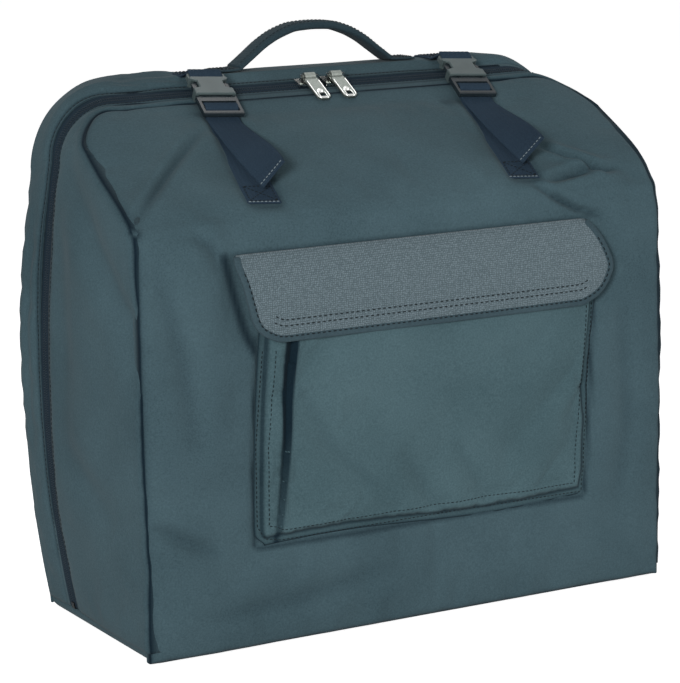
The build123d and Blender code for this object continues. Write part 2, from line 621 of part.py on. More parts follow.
def female_buckle():
    """Hollow half: wide mouth, side windows at the waist, and a bar for its webbing."""
    half = BUCKLE_WIDE / 2
    inner = half - BUCKLE_SIDE
    throat = MOUTH + MOUTH_LONG
    top = MOUTH + FEMALE_LONG
    cavity_low = BUCKLE_LIFT - PRONG_CLEAR
    cavity_high = BUCKLE_TOP + PRONG_CLEAR
    low = cavity_low - FEMALE_WALL
    high = cavity_high + FEMALE_WALL
    right = [(half, MOUTH), (half - MOUTH_TAPER, throat), (FEMALE_WAIST, throat + WAIST_TAPER),
             (FEMALE_WAIST, PRONG_TIP - WAIST_TAPER), (half - SHOULDER_IN, PRONG_TIP + SHOULDER_IN),
             (half - SHOULDER_IN, top)]
    body = prism(right + [(-a, b) for a, b in right[::-1]], low, high)
    body = fillet(body.edges().filter_by(Axis.Z).group_by(Axis.Y)[-1], FEMALE_CORNER)
    body = chamfer(body.faces().sort_by(Axis.Z)[-1].edges(), FEMALE_BEVEL)
    slot_side = inner - MOUTH_TAPER
    body -= block(-inner, inner, MOUTH - FEMALE_WALL, PRONG_TIP + PRONG_TIP_CLEAR,
                  cavity_low, cavity_high)
    body -= block(-slot_side, slot_side, END_SLOT, END_SLOT + FEMALE_SLOT, 0, 2 * high)
    body -= block(-half, half, END_SLOT, top, BUCKLE_TOP, 2 * high)
    return body - block(-half, half, END_SLOT, top, 0, BUCKLE_LIFT)


def lid_strap(plane):
    """Webbing round the female buckle's end bar, laid over the crest and sewn to the lid."""
    slot_middle = END_SLOT + FEMALE_SLOT / 2
    half = WEBBING / 2
    under = BUCKLE_LIFT - SOFT_GAP - half
    over = BUCKLE_TOP + SOFT_GAP + half
    past = MOUTH + FEMALE_LONG + WEBBING

    def spot(b, w):
        point = plane.from_local_coords(Vector(0, b, w))
        return (point.Y, point.Z)

    seat = CREST_Z + half
    loop_path = [(past + 2 * WEBBING, under), (slot_middle, under),
                 (slot_middle, over), (past + 2 * WEBBING, over)]
    loop_face = make_face(Polyline(*strip(loop_path, half, half), close=True))
    loop = extrude(Plane.YZ.offset(-WEBBING_WIDE / 2) * loop_face, amount=WEBBING_WIDE)
    path = [spot(past + half, over), (CREST_Y, seat), (CREST_Y + STRAP_SEAT, seat)]
    middle = plane.from_local_coords(Vector(0, past, 0)).X
    width = (middle - WEBBING_WIDE / 2, middle + WEBBING_WIDE / 2)
    return plane * loop + across(strip(path, half, half), *width)


def strap_parts():
    """Each side's webbing, buckle halves and sprung prongs."""
    parts = {}
    for side, x in STRAP_PLACES.items():
        plane = strap_plane(x)
        parts[side + "_front_webbing"] = plane * front_webbing()
        parts[side + "_male_buckle"] = plane * male_buckle()
        parts[side + "_female_buckle"] = plane * female_buckle()
        parts[side + "_lid_webbing"] = lid_strap(plane)
        outwards = -1 if x < 0 else 1
        for name, s in (("outer", outwards), ("inner", -outwards)):
            parts[side + "_buckle_" + name + "_prong"] = plane * prong(s)
            root = plane.from_local_coords(
                Vector(s * PRONG_SPREAD, MOUTH - SOFT_GAP, BUCKLE_LIFT + BUCKLE_THICK / 2))
            print(side, name, "prong turns about", [round(v, 3) for v in root], "side", s)
    print("prong axis", [round(v, 6) for v in strap_plane(0).z_dir])
    return parts


# ---- handle ----
def handle_parts():
    """Webbing carry handle, arched over the crest, with its two sewn ends."""
    foot = CREST_Z + HANDLE_THICK / 2
    middle = (HANDLE_LEFT + HANDLE_RIGHT) / 2
    shoulder_z = CREST_Z + HANDLE_SHOULDER
    left = (HANDLE_LEFT + HANDLE_TAPER, shoulder_z)
    right = (HANDLE_RIGHT - HANDLE_TAPER, shoulder_z)
    crown = ThreePointArc(left, (middle, CREST_Z + HANDLE_RISE), right)
    line = Line((HANDLE_LEFT, foot), left) + crown + Line(right, (HANDLE_RIGHT, foot))
    centre_y = (CREST_Y + BACK_FACE) / 2
    y_range = (centre_y - HANDLE_WIDE / 2, centre_y + HANDLE_WIDE / 2)
    grip = facing(trace(line, line_width=HANDLE_THICK), *y_range)
    grip -= block(-REACH, REACH, -REACH, REACH, 0, CREST_Z)
    parts = {"handle_grip": grip}
    for side, x in (("left", HANDLE_LEFT), ("right", HANDLE_RIGHT)):
        out = -1 if side == "left" else 1
        ends = sorted((x + out * ANCHOR_START, x + out * ANCHOR_LONG))
        patch = block(*ends, *y_range, CREST_Z, CREST_Z + 2 * WEBBING)
        parts[side + "_handle_anchor"] = patch - grip
    return parts


def build():
    """All the pieces by name."""
    outer = case_body(0)
    middle = case_body(PAD)
    inner = case_body(INNER)
    parts = shell_parts(outer, middle, inner)
    parts.update(zip_parts())
    parts.update(slider_parts())
    parts["pocket_panel"] = pocket_panel()
    parts.update(flap_parts())
    parts.update(strap_parts())
    parts.update(handle_parts())
    return parts


os.makedirs("parts", exist_ok=True)
for name, solid in build().items():
    export_step(solid, "parts/" + name + ".step")
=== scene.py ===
"""Looks of the padded accordion case: dressed fabric, webbing, zip and buckles."""
import json
import math

import bmesh
import bpy
import numpy as np
from mathutils import Matrix, Vector

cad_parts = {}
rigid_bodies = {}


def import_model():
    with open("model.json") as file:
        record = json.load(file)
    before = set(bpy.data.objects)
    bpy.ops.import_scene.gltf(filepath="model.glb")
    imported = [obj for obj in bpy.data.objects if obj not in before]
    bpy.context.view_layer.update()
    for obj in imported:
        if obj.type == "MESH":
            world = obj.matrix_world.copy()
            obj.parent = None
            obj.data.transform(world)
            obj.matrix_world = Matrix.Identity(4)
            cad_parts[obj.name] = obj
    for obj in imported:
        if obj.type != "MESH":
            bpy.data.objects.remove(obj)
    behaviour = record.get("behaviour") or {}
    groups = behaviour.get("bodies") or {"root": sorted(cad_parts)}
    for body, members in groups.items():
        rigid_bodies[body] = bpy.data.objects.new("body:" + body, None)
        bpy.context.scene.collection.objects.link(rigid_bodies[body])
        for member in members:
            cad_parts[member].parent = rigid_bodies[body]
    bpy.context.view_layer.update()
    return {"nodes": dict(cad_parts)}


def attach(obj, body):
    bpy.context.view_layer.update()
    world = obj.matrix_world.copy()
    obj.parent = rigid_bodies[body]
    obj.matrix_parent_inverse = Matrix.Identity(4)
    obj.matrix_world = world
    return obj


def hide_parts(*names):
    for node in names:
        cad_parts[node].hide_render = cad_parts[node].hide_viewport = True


for stray in list(bpy.data.objects):
    bpy.data.objects.remove(stray)
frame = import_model()

MM = 0.001
FAR = 1e9
X_AXIS, Y_AXIS, Z_AXIS = np.eye(3)

# ---- driving sizes of the case, in millimetres ----
WIDTH, DEPTH = 500.0, 220.0
FRONT_HEIGHT = 358.0
SLOPE_RUN, SLOPE_RISE = 137.0, 81.0
ZIP_SETBACK, BAND_RISE = 20.0, 7.0
CREST_SETBACK, CREST_RISE = 24.0, 12.0
PAD, LINING = 12.0, 2.0
FRONT, BACK = -DEPTH / 2, DEPTH / 2
SLOPE_TOP_Y = FRONT + SLOPE_RUN
SLOPE_TOP_Z = FRONT_HEIGHT + SLOPE_RISE
ZIP_Y = SLOPE_TOP_Y + ZIP_SETBACK
ZIP_Z = SLOPE_TOP_Z + BAND_RISE
CREST_Y = ZIP_Y + CREST_SETBACK
CREST_Z = ZIP_Z + CREST_RISE
BACK_FACE = BACK - PAD
BAND_SLOPE = BAND_RISE / ZIP_SETBACK
SLOPE = math.atan2(SLOPE_RISE, SLOPE_RUN)
SLOPE_LONG = math.hypot(SLOPE_RUN, SLOPE_RISE)
TAPE_HALF = 13.5
HEM_HALF = 7.9            # fabric edge to the zip's centre
SIDE_BULGE = 18.0
BASE_CORNER = 10.0
# depth, side bulge, top, top corner radius, shrink
STATIONS = np.array([
    (FRONT, 1.2, SLOPE_TOP_Z - SLOPE_RUN * BAND_SLOPE, 6.0, 0.0),
    (SLOPE_TOP_Y - 40, 12.5, SLOPE_TOP_Z - 40 * BAND_SLOPE, 14.0, 0.0),
    (SLOPE_TOP_Y, 16.0, SLOPE_TOP_Z, 40.0, 0.0),
    (ZIP_Y, SIDE_BULGE, ZIP_Z, 53.0, 0.0),
    (ZIP_Y + TAPE_HALF, SIDE_BULGE, ZIP_Z + TAPE_HALF * BAND_SLOPE, 53.0, 0.0),
    (CREST_Y, SIDE_BULGE, CREST_Z, 64.0, 0.0),
    (BACK_FACE, 16.0, CREST_Z, 75.0, 0.0),
    (BACK, 11.0, CREST_Z - 8.0, 75.0, 8.0)])
BEND_BACK, BEND_DROP = 2.9, 2.4                 # how far the bend above the front is rounded off
BEND_REACH, FULLER_REACH = 13.0, 7.0
FULLER_FROM, FULLER_OVER = 0.72, 0.22           # shares of the half width: the bend fills out there
NEAR_SEAM = np.array([0.0, 0.7, 1.5, 2.5, 3.8, 5.5, 7.8])
PAST_SEAM = 10.5
# flat places for a strap (across, along), the pulls (across, deep) and the flap (across, up)
STRAP_BED = (-15.5, 15.5), (-3, 175)
PULL_BED = (-132, 138), (3, 40)
FLAP_BED = (-176, 198), (256, 357)
FOLD_GAIN, FOLD_NARROW = 2.3, 0.72              # drawn folds against their listed depth and width
POCKET_LEFT, POCKET_RIGHT, POCKET_LOW, POCKET_TOP = -155.0, 168.0, 87.0, 296.0
POCKET_LEFT_LEAN, POCKET_RIGHT_LEAN = 13.0, 14.0
PLEAT_LOW_X, PLEAT_HIGH_X = -135.0, -110.0
FLAP_AXIS_Y, FLAP_TOP, FLAP_LOW = -112.3, 330.0, 258.0
FLAP_MID_Y, FLAP_KNEE = -123.55, 301.0
FLAP_CORNER, FLAP_STEP = 20.0, 32.4
FLAP_ROWS, FLAP_COLS = 90, 150
STRAPS = {"left": -128.5, "right": 121.0}       # where each strap starts, across the case
STRAP_LEAN, STRAP_START = math.radians(6.5), 17.4
WEBBING, WEB_WIDE = 1.6, 30.0
TAIL_START, TAIL_RUN, TAIL_LIFT = 109.0, 98.0, 20.0
BAR_UPPER, BAR_LOWER = 129.5, 120.5             # the strap turns up and down beside the middle bar
MOUTH, END_SLOT = 140.0, 164.0
BUCKLE_LIFT, BUCKLE_TOP = 4.3, 8.7
HANDLE_LEFT, HANDLE_RIGHT = -62.0, 89.0
GRIP_WIDE, GRIP_THICK, GRIP_PADDING = 12.9, 3.0, 1.0
PULLS = {"left": -10.0, "right": 16.0}          # where each pull hangs, across the case
PULL_EYE_Y, PULL_EYE_Z = 44.688, 452.607
STRIP_STEP = 1.6


# ---- shape of the case ----
def station(y):
    """Half width, bulge, top, corner radius at depth y."""
    bulge, top, corner, shrink = [np.interp(y, STATIONS[:, 0], STATIONS[:, i]) for i in range(1, 5)]
    return WIDTH / 2 - shrink, bulge, top, corner


def side_arc(z, end):
    """How full the side is at height z: 0 at its two ends, 1 half-way."""
    middle, reach = (end + BASE_CORNER) / 2, (end - BASE_CORNER) / 2
    return np.clip(1 - ((z - middle) / reach) ** 2, 0, 1)


def half_width(y, z):
    """Half the width of the case at depth y and height z."""
    half, bulge, top, corner = station(y)
    rise = np.clip(z - (top - corner), 0, corner)
    width = half - corner + np.sqrt(np.maximum(corner ** 2 - rise ** 2, 0))
    return width + bulge * side_arc(z, top - corner)


def ring_point(y, q):
    """Point of the upright outline at depth y: q runs 0..5 up the left, over the top, down."""
    y, q = np.broadcast_arrays(np.asarray(y, float), np.asarray(q, float))
    half, bulge, top, corner = station(y)
    on_right = q > 2.5
    p = np.where(on_right, 5 - q, q)
    turn = np.clip(p - 1, 0, 1) * math.pi / 2
    z_side = PAD + (top - corner - PAD) * np.clip(p, 0, 1)
    x = half + bulge * side_arc(z_side, top - corner)
    x = np.where(p > 1, half - corner + corner * np.cos(turn), x)
    z = np.where(p > 1, top - corner + corner * np.sin(turn), z_side)
    x = np.where(p > 2, (half - corner) * (1 - np.clip(p - 2, 0, 0.5) * 2), x)
    return np.stack([np.where(on_right, x, -x), y, z], -1)


def profile(t, fuller=0.0):
    """Depth and height of the front at a run t from the ground, with a rounded bend."""
    up = np.clip(t - FRONT_HEIGHT, 0, SLOPE_LONG)
    soft = (1 + fuller) * bell(t - FRONT_HEIGHT, BEND_REACH + FULLER_REACH * fuller)
    return (FRONT + up * math.cos(SLOPE) + BEND_BACK * soft,
            np.clip(t, 0, FRONT_HEIGHT) + up * math.sin(SLOPE) - BEND_DROP * soft)


def slope_y(z, right):
    """Depth of the front panel at height z, along its left or right edge."""
    return np.where(right, np.interp(z, RIGHT_EDGE[1], RIGHT_EDGE[0]),
                    np.interp(z, LEFT_EDGE[1], LEFT_EDGE[0]))


def q_row(n_side=110, n_turn=26, n_top=100):
    """Places round the outline, close enough together for soft folds."""
    left = np.concatenate([np.linspace(0, 1, n_side, False), np.linspace(1, 2, n_turn, False),
                           np.linspace(2, 2.5, n_top // 2, False)])
    return np.concatenate([left, [2.5], 5 - left[::-1]])


def edged(low, high, count, both=True):
    """Places from low to high, closer together beside the seams."""
    few = len(NEAR_SEAM)
    if both:
        inner = np.linspace(low + PAST_SEAM, high - PAST_SEAM, count - 2 * few)
        return np.concatenate([low + NEAR_SEAM, inner, high - NEAR_SEAM[::-1]])
    return np.concatenate([low + NEAR_SEAM, np.linspace(low + PAST_SEAM, high, count - few)])


# ---- small tools ----
def bell(value, width):
    """1 where the value is 0, fading to 0 on either side."""
    return np.exp(-(value / width) ** 2)


def soft_box(value, low, high, soft):
    """1 between low and high, falling to 0 outside over a soft distance."""
    return (1 / (1 + np.exp(-(value - low) / soft))) * (1 / (1 + np.exp((value - high) / soft)))


def noise(p, size, seed):
    """Smooth, seeded unevenness between about -1 and 1, with features of a given size."""
    draw = np.random.default_rng(seed)
    total = np.zeros(p.shape[:-1])
    for _ in range(7):
        way = draw.normal(size=3)
        way *= (2 * math.pi / size) * draw.uniform(0.6, 1.4) / np.linalg.norm(way)
        total += np.sin(p @ way + draw.uniform(0, 2 * math.pi))
    return total / 3.2


def to_path(p, path):
    """Distance from each point to a polyline, and the share of the way along it."""
    path = np.asarray(path, float)
    best = np.full(p.shape[:-1], FAR)
    share = np.zeros(p.shape[:-1])
    ends = run_length(path)
    for a, b, before, after in zip(path[:-1], path[1:], ends[:-1], ends[1:]):
        t = np.clip(((p - a) @ (b - a)) / max((b - a) @ (b - a), 1e-9), 0, 1)
        d = np.linalg.norm(p - (a + t[..., None] * (b - a)), axis=-1)
        closer = d < best
        best = np.where(closer, d, best)
        share = np.where(closer, (before + t * (after - before)) / ends[-1], share)
    return best, share


def crease(p, path, depth, width):
    """A soft valley along a path, raised beside it, fading towards its ends."""
    d, share = to_path(p, path)
    fade = np.sin(np.clip(share, 0, 1) * math.pi).clip(0) ** 0.6
    ridge = 0.5 * bell(d - 2.1 * width, 1.3 * width)
    return fade * depth * (ridge - bell(d, width))


def fold_shape(p, path, depth, width):
    """A drawn fold as it stands on padded cloth."""
    return FOLD_GAIN * crease(p, path, depth, FOLD_NARROW * width)


def plane(low, high, cols, near, far, rows):
    """Two matching grids of coordinates: across from low to high, along from near to far."""
    return np.meshgrid(np.linspace(low, high, cols), np.linspace(near, far, rows))


def points_of(x, y, z):
    """A grid of points from coordinates that spread over each other."""
    return np.stack(np.broadcast_arrays(x, y, z), -1)


def unit(vectors):
    """The vectors, each at length 1."""
    return vectors / np.maximum(np.linalg.norm(vectors, axis=-1, keepdims=True), 1e-9)


def grid_normals(grid):
    """Unit normals of a grid of points."""
    return unit(np.cross(np.gradient(grid, axis=0), np.gradient(grid, axis=1)))


def smoothed(line, rounds):
    """A row of values or points evened out, its two ends held."""
    for _ in range(rounds):
        line[1:-1] = (line[:-2] + 2 * line[1:-1] + line[2:]) / 4
    return line


def run_length(points):
    """Distance along a path up to each of its points."""
    return np.concatenate([[0], np.cumsum(np.linalg.norm(np.diff(points, axis=0), axis=1))])


def spaced(points, count):
    """The path again, as a number of points spread evenly along it."""
    points = np.asarray(points, float)
    runs = run_length(points)
    at = np.linspace(0, runs[-1], count)
    return np.stack([np.interp(at, runs, column) for column in points.T], -1)


def even_path(points, step):
    """The path again, with points one step apart."""
    return spaced(points, max(int(run_length(points)[-1] / step), 2) + 1)


def path_frames(points, start, along, out, count=None, rounds=4):
    """World points and outward directions of a path given along and above a face."""
    count = count or int(run_length(points)[-1] / STRIP_STEP) + 2
    line = smoothed(spaced(points, count), rounds)
    t = unit(np.gradient(line, axis=0))
    return start + line[:, :1] * along + line[:, 1:] * out, -t[:, 1:] * along + t[:, :1] * out


def nearest(places, values):
    """Finds the value that belongs to the place nearest to a spot."""
    return lambda spot: values[np.argmin(((places - spot) ** 2).sum(1))]


def depth_finder(face):
    """Finds a sheet's depth at a spot (x, z) seen from the front."""
    return nearest(face[..., [0, 2]].reshape(-1, 2), face[..., 1].ravel())


def grid_faces(rows, cols, start=0, flip=False):
    """Faces between neighbouring points of a grid."""
    i, j = np.meshgrid(np.arange(rows - 1), np.arange(cols - 1), indexing="ij")
    a = (start + i * cols + j).ravel()
    quads = np.stack([a, a + cols, a + cols + 1, a + 1], -1)
    return (quads[:, ::-1] if flip else quads).tolist()


def swept_faces(rings, sides, closed=True):
    """Faces of a tube of rings, with a cap at its start and, if closed, at its end."""
    i, j = np.meshgrid(np.arange(rings - 1), np.arange(sides), indexing="ij")
    k = (j + 1) % sides
    quads = np.stack([i * sides + j, i * sides + k, (i + 1) * sides + k, (i + 1) * sides + j], -1)
    faces = quads.reshape(-1, 4).tolist() + [list(range(sides))[::-1]]
    if closed:
        faces.append([(rings - 1) * sides + side for side in range(sides)])
    return faces


def make(name, points, faces, material):
    """A mesh piece from points in millimetres."""
    mesh = bpy.data.meshes.new(name)
    mesh.from_pydata((np.asarray(points, float) * MM).tolist(), [], faces)
    mesh.validate()
    mesh.update()
    mesh.polygons.foreach_set("use_smooth", [True] * len(mesh.polygons))
    mesh.materials.append(material)
    piece = bpy.data.objects.new(name, mesh)
    bpy.context.scene.collection.objects.link(piece)
    return piece


def face_outwards(piece):
    """Turns all faces of a closed piece outwards."""
    bm = bmesh.new()
    bm.from_mesh(piece.data)
    bmesh.ops.recalc_face_normals(bm, faces=bm.faces)
    bm.to_mesh(piece.data)
    bm.free()


def soften(piece, level=1):
    """Rounds a piece by subdivision."""
    modifier = piece.modifiers.new("soft", "SUBSURF")
    modifier.levels = modifier.render_levels = level


def slab(name, outer, inner, material, level=1, dark=None):
    """Closed piece between two matching grids, softened by subdivision."""
    rows, cols = outer.shape[:2]
    count = rows * cols
    points = np.concatenate([outer.reshape(-1, 3), inner.reshape(-1, 3)])
    rim = ([i * cols for i in range(rows)] + [(rows - 1) * cols + j for j in range(1, cols)]
           + [i * cols + cols - 1 for i in range(rows - 2, -1, -1)]
           + [j for j in range(cols - 2, 0, -1)])
    walls = [(a, b, b + count, a + count) for a, b in zip(rim, rim[1:] + rim[:1])]
    piece = make(name, points, grid_faces(rows, cols, flip=True)
                 + grid_faces(rows, cols, count) + walls, material)
    face_outwards(piece)
    # the depth attribute carries painted shade on the outer face, and none on the inner face
    if dark is not None:
        layer = piece.data.attributes.new("depth", "FLOAT", "POINT")
        layer.data.foreach_set("value", np.concatenate(
            [np.clip(dark, 0, 1).ravel(), np.zeros(count)]).astype(np.float32))
    if level:
        soften(piece, level)
    return piece


def tube(name, path, radius, material, sides):
    """Round section swept along a path, closed at both ends."""
    t = unit(np.gradient(path, axis=0))
    a = unit(np.cross(t, Y_AXIS))
    b = np.cross(t, a)
    turn = np.linspace(0, 2 * math.pi, sides, False)
    ring = (path[:, None, :] + radius * (np.cos(turn)[None, :, None] * a[:, None, :]
                                         + np.sin(turn)[None, :, None] * b[:, None, :]))
    return make(name, ring.reshape(-1, 3), swept_faces(len(path), sides), material)


def settle(piece, body, slot, *nodes):
    """The piece rides on its body and stands for its nodes, which are hidden."""
    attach(piece, body)
    if nodes:
        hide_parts(*nodes)
    return piece


RUNS = np.linspace(0, FRONT_HEIGHT + SLOPE_LONG, 900)
LEFT_EDGE, RIGHT_EDGE = profile(RUNS), profile(RUNS, 1.0)


# ---- materials ----
def shader(name, color, rough, metal=0.0, sheen=0.0, specular=0.5):
    """A material with its own shader's sockets set."""
    material = bpy.data.materials.new(name)
    material.use_nodes = True
    bsdf = material.node_tree.nodes["Principled BSDF"]
    for socket, value in (("Base Color", (*color, 1)), ("Roughness", rough), ("Metallic", metal),
                          ("Sheen Weight", sheen), ("Specular IOR Level", specular)):
        bsdf.inputs[socket].default_value = value
    return material, material.node_tree, bsdf


def math_node(tree, what, a, b=None):
    """Result of one sum on values or other nodes' results."""
    node = tree.nodes.new("ShaderNodeMath")
    node.operation = what
    for i, value in enumerate((a, b)):
        if isinstance(value, (int, float)):
            node.inputs[i].default_value = value
        elif value is not None:
            tree.links.new(value, node.inputs[i])
    return node.outputs[0]


def product(tree, a, b):
    """Product of two values or results."""
    return math_node(tree, "MULTIPLY", a, b)


def total(tree, a, b):
    """Sum of two values or results."""
    return math_node(tree, "ADD", a, b)


def position(tree):
    """Place on the object."""
    return tree.nodes.new("ShaderNodeTexCoord").outputs["Object"]


def axes_of(tree, place):
    """The three axes of a place."""
    split = tree.nodes.new("ShaderNodeSeparateXYZ")
    tree.links.new(place, split.inputs[0])
    return split.outputs


def spots(tree, place, scale, detail=2.0):
    """Soft spots, of a size that falls as the scale rises."""
    node = tree.nodes.new("ShaderNodeTexNoise")
    node.inputs["Scale"].default_value = scale
    node.inputs["Detail"].default_value = detail
    tree.links.new(place, node.inputs["Vector"])
    return node.outputs["Fac"]


def blend(tree, factor, first, second, kind="MIX"):
    """Mix of two colours, either of which may be another node's result."""
    node = tree.nodes.new("ShaderNodeMix")
    node.data_type = "RGBA"
    node.blend_type = kind
    tree.links.new(factor, node.inputs["Factor"])
    for socket, value in (("A", first), ("B", second)):
        if isinstance(value, tuple):
            node.inputs[socket].default_value = (*value, 1)
        else:
            tree.links.new(value, node.inputs[socket])
    return node.outputs["Result"]


def tint(tree, bsdf, factor, dark, light):
    """Colour between dark and light, multiplied towards a dark blue by the painted shade in the mesh's
    depth attribute.
    """
    painted_shade = tree.nodes.new("ShaderNodeAttribute")
    painted_shade.attribute_name = "depth"
    # painted shade: the depth attribute darkens the colour in seams, folds, recesses and painted
    # shadows
    colour = blend(tree, painted_shade.outputs["Fac"], blend(tree, factor, dark, light),
                   (0.10, 0.15, 0.20), "MULTIPLY")
    tree.links.new(colour, bsdf.inputs["Base Color"])


def bumped(tree, bsdf, height, strength, distance):
    """Small relief, with its distance in millimetres."""
    bump = tree.nodes.new("ShaderNodeBump")
    bump.inputs["Strength"].default_value = strength
    bump.inputs["Distance"].default_value = distance * MM
    tree.links.new(height, bump.inputs["Height"])
    tree.links.new(bump.outputs["Normal"], bsdf.inputs["Normal"])


def cloth(name, dark, light, pitch=1.0, grain=0.35, deep=0.25, rough=0.8, sheen=0.03,
          contrast=1.2):
    """Woven fabric: over-and-under threads on all three axes, uneven colour and a faint nap."""
    material, tree, bsdf = shader(name, dark, rough, sheen=sheen, specular=0.04)
    place = position(tree)
    rate = 2 * math.pi / (pitch * MM)
    x, y, z = [math_node(tree, "SINE", product(tree, axis, rate)) for axis in axes_of(tree, place)]
    weave = total(tree, total(tree, x, y), z)
    broad, fine = spots(tree, place, 9.0, 4.0), spots(tree, place, 700.0)
    both = total(tree, product(tree, broad, 1 - grain), product(tree, fine, grain))
    both = math_node(tree, "SUBTRACT", product(tree, both, contrast), (contrast - 1) / 2)
    tint(tree, bsdf, both, dark, light)
    bumped(tree, bsdf, total(tree, weave, product(tree, fine, 2.0)), deep, 0.12)
    return material


def dotted(name, dark, light, pitch):
    """Coarse flap fabric: pale raised dots, placed by height and width so that they hold on a fold."""
    material, tree, bsdf = shader(name, dark, 0.75, sheen=0.1, specular=0.3)
    axes = axes_of(tree, position(tree))
    flattened = tree.nodes.new("ShaderNodeCombineXYZ")
    tree.links.new(axes[0], flattened.inputs[0])
    tree.links.new(axes[2], flattened.inputs[2])
    cells = tree.nodes.new("ShaderNodeTexVoronoi")
    cells.inputs["Scale"].default_value = 1 / (pitch * MM)
    cells.inputs["Randomness"].default_value = 0.35
    tree.links.new(flattened.outputs[0], cells.inputs["Vector"])
    dot = math_node(tree, "SUBTRACT", 1.0, product(tree, cells.outputs["Distance"], 1.9))
    tint(tree, bsdf, dot, dark, light)
    bumped(tree, bsdf, dot, 0.7, 0.5)
    return material


def mottled(name, dark, light, rough, metal=0.0, specular=0.5, blotch=60.0, detail=3.0, relief=None):
    """Plastic or metal, uneven in colour; relief gives its scale, strength and distance."""
    material, tree, bsdf = shader(name, light, rough, metal, specular=specular)
    place = position(tree)
    tint(tree, bsdf, spots(tree, place, blotch, detail), dark, light)
    if relief:
        scale, strength, distance = relief
        bumped(tree, bsdf, spots(tree, place, scale), strength, distance)
    return material


SHELL = cloth("shell_nylon", (0.019, 0.038, 0.047), (0.070, 0.116, 0.135), grain=0.5, contrast=1.4)
POCKET = cloth("pocket_nylon", (0.021, 0.045, 0.053), (0.082, 0.136, 0.154), grain=0.5, contrast=1.4)
LINER = cloth("lining_plush", (0.016, 0.019, 0.022), (0.032, 0.037, 0.041), 1.6, 0.5, 0.4, 0.9, 0.3)
TAPE = cloth("zip_tape_weave", (0.007, 0.014, 0.022), (0.023, 0.038, 0.052), 0.8, sheen=0.0)
WEB = cloth("webbing_weave", (0.009, 0.016, 0.028), (0.030, 0.052, 0.076), 1.3, 0.4, 0.5, sheen=0.0)
BIND = cloth("binding_tape", (0.016, 0.031, 0.040), (0.058, 0.092, 0.108), 1.1, 0.4, 0.5)
GRIP = cloth("handle_webbing", (0.008, 0.018, 0.024), (0.034, 0.056, 0.068), 1.5, 0.4, 0.6)
FLAP = dotted("flap_weave", (0.050, 0.076, 0.088), (0.160, 0.212, 0.240), 1.7)
THREAD = cloth("thread", (0.004, 0.007, 0.009), (0.012, 0.018, 0.022), 0.4, 0.5, 0.3, 0.6)
PALE_THREAD = cloth("pale_thread", (0.10, 0.13, 0.14), (0.22, 0.26, 0.28), 0.4, 0.5, 0.3, 0.6)
HOOK = cloth("hook_and_loop", (0.008, 0.009, 0.010), (0.022, 0.024, 0.026), 0.9, 0.6, 0.9, 0.95, 0.3)
FINE_GRAIN, SATIN_GRAIN = (900.0, 0.25, 0.06), (900.0, 0.3, 0.1)
PLASTIC = mottled("buckle_acetal", (0.034, 0.050, 0.051), (0.064, 0.088, 0.090), 0.4,
                  specular=0.35, relief=FINE_GRAIN)
DARK_PLASTIC = mottled("frame_acetal", (0.007, 0.011, 0.014), (0.017, 0.025, 0.030), 0.25,
                       specular=0.25, relief=FINE_GRAIN)
COIL = mottled("zip_coil_nylon", (0.008, 0.013, 0.018), (0.022, 0.034, 0.044), 0.5,
               specular=0.2, blotch=200.0, detail=2.0)
METAL = mottled("nickel_plate", (0.62, 0.63, 0.61), (0.86, 0.86, 0.84), 0.16, 1.0,
                blotch=160.0, relief=(420.0, 0.12, 0.1))
SATIN = mottled("satin_nickel", (0.17, 0.19, 0.175), (0.32, 0.345, 0.32), 0.42, 1.0,
                blotch=500.0, relief=SATIN_GRAIN)
BLACKED = mottled("blacked_nickel", (0.018, 0.022, 0.024), (0.04, 0.046, 0.05), 0.42, 1.0,
                  blotch=500.0, relief=SATIN_GRAIN)
BOARD, _, _ = shader("board_plastic", (0.03, 0.03, 0.03), 0.6)


# ---- stitching ----
STITCH_STEP, STITCH_SIDES = 0.5, 5
STITCH_RINGS = ((0, 0.35), (0.2, 1.0), (0.8, 1.0), (1, 0.35))       # shares of length and of girth


def stitches(name, paths, body, slot, long=2.6, gap=1.5, radius=0.34, lift=0.12, thread=THREAD):
    """Rows of single stitches, each a small rounded bar lying on the cloth."""
    bar = swept_faces(len(STITCH_RINGS), STITCH_SIDES)
    used, per = round(long / STITCH_STEP), round((long + gap) / STITCH_STEP)
    points, faces = [], []
    for path, normal in paths:
        line = even_path(path, STITCH_STEP)
        for a, b in zip(line[:len(line) - used:per], line[used::per]):
            n = normal(a) if callable(normal) else np.asarray(normal, float)
            side = unit(np.cross(unit(b - a), n))
            faces += [[len(points) + corner for corner in face] for face in bar]
            for share, fat in STITCH_RINGS:
                centre = a + (b - a) * share + n * (lift * fat)
                for w in np.arange(STITCH_SIDES) * (2 * math.pi / STITCH_SIDES):
                    points.append(centre + radius * fat * (side * math.cos(w) + n * math.sin(w)))
    return settle(make(name, points, faces, thread), body, slot)


def box_stitches(name, corners, up, body, gap=1.1):
    """A stitched box with a cross in it, by which a strap is sewn down."""
    a, b, c, d = corners
    rows = [([a, b, c, d, a], up), ([a, c], up), ([b, d], up)]
    stitches(name, rows, body, "webbing", 2.4, gap, 0.32)


# ---- padded shell ----
def border(shape):
    """True on the four edges of a grid."""
    mask = np.zeros(shape[:2], bool)
    mask[0] = mask[-1] = mask[:, 0] = mask[:, -1] = True
    return mask


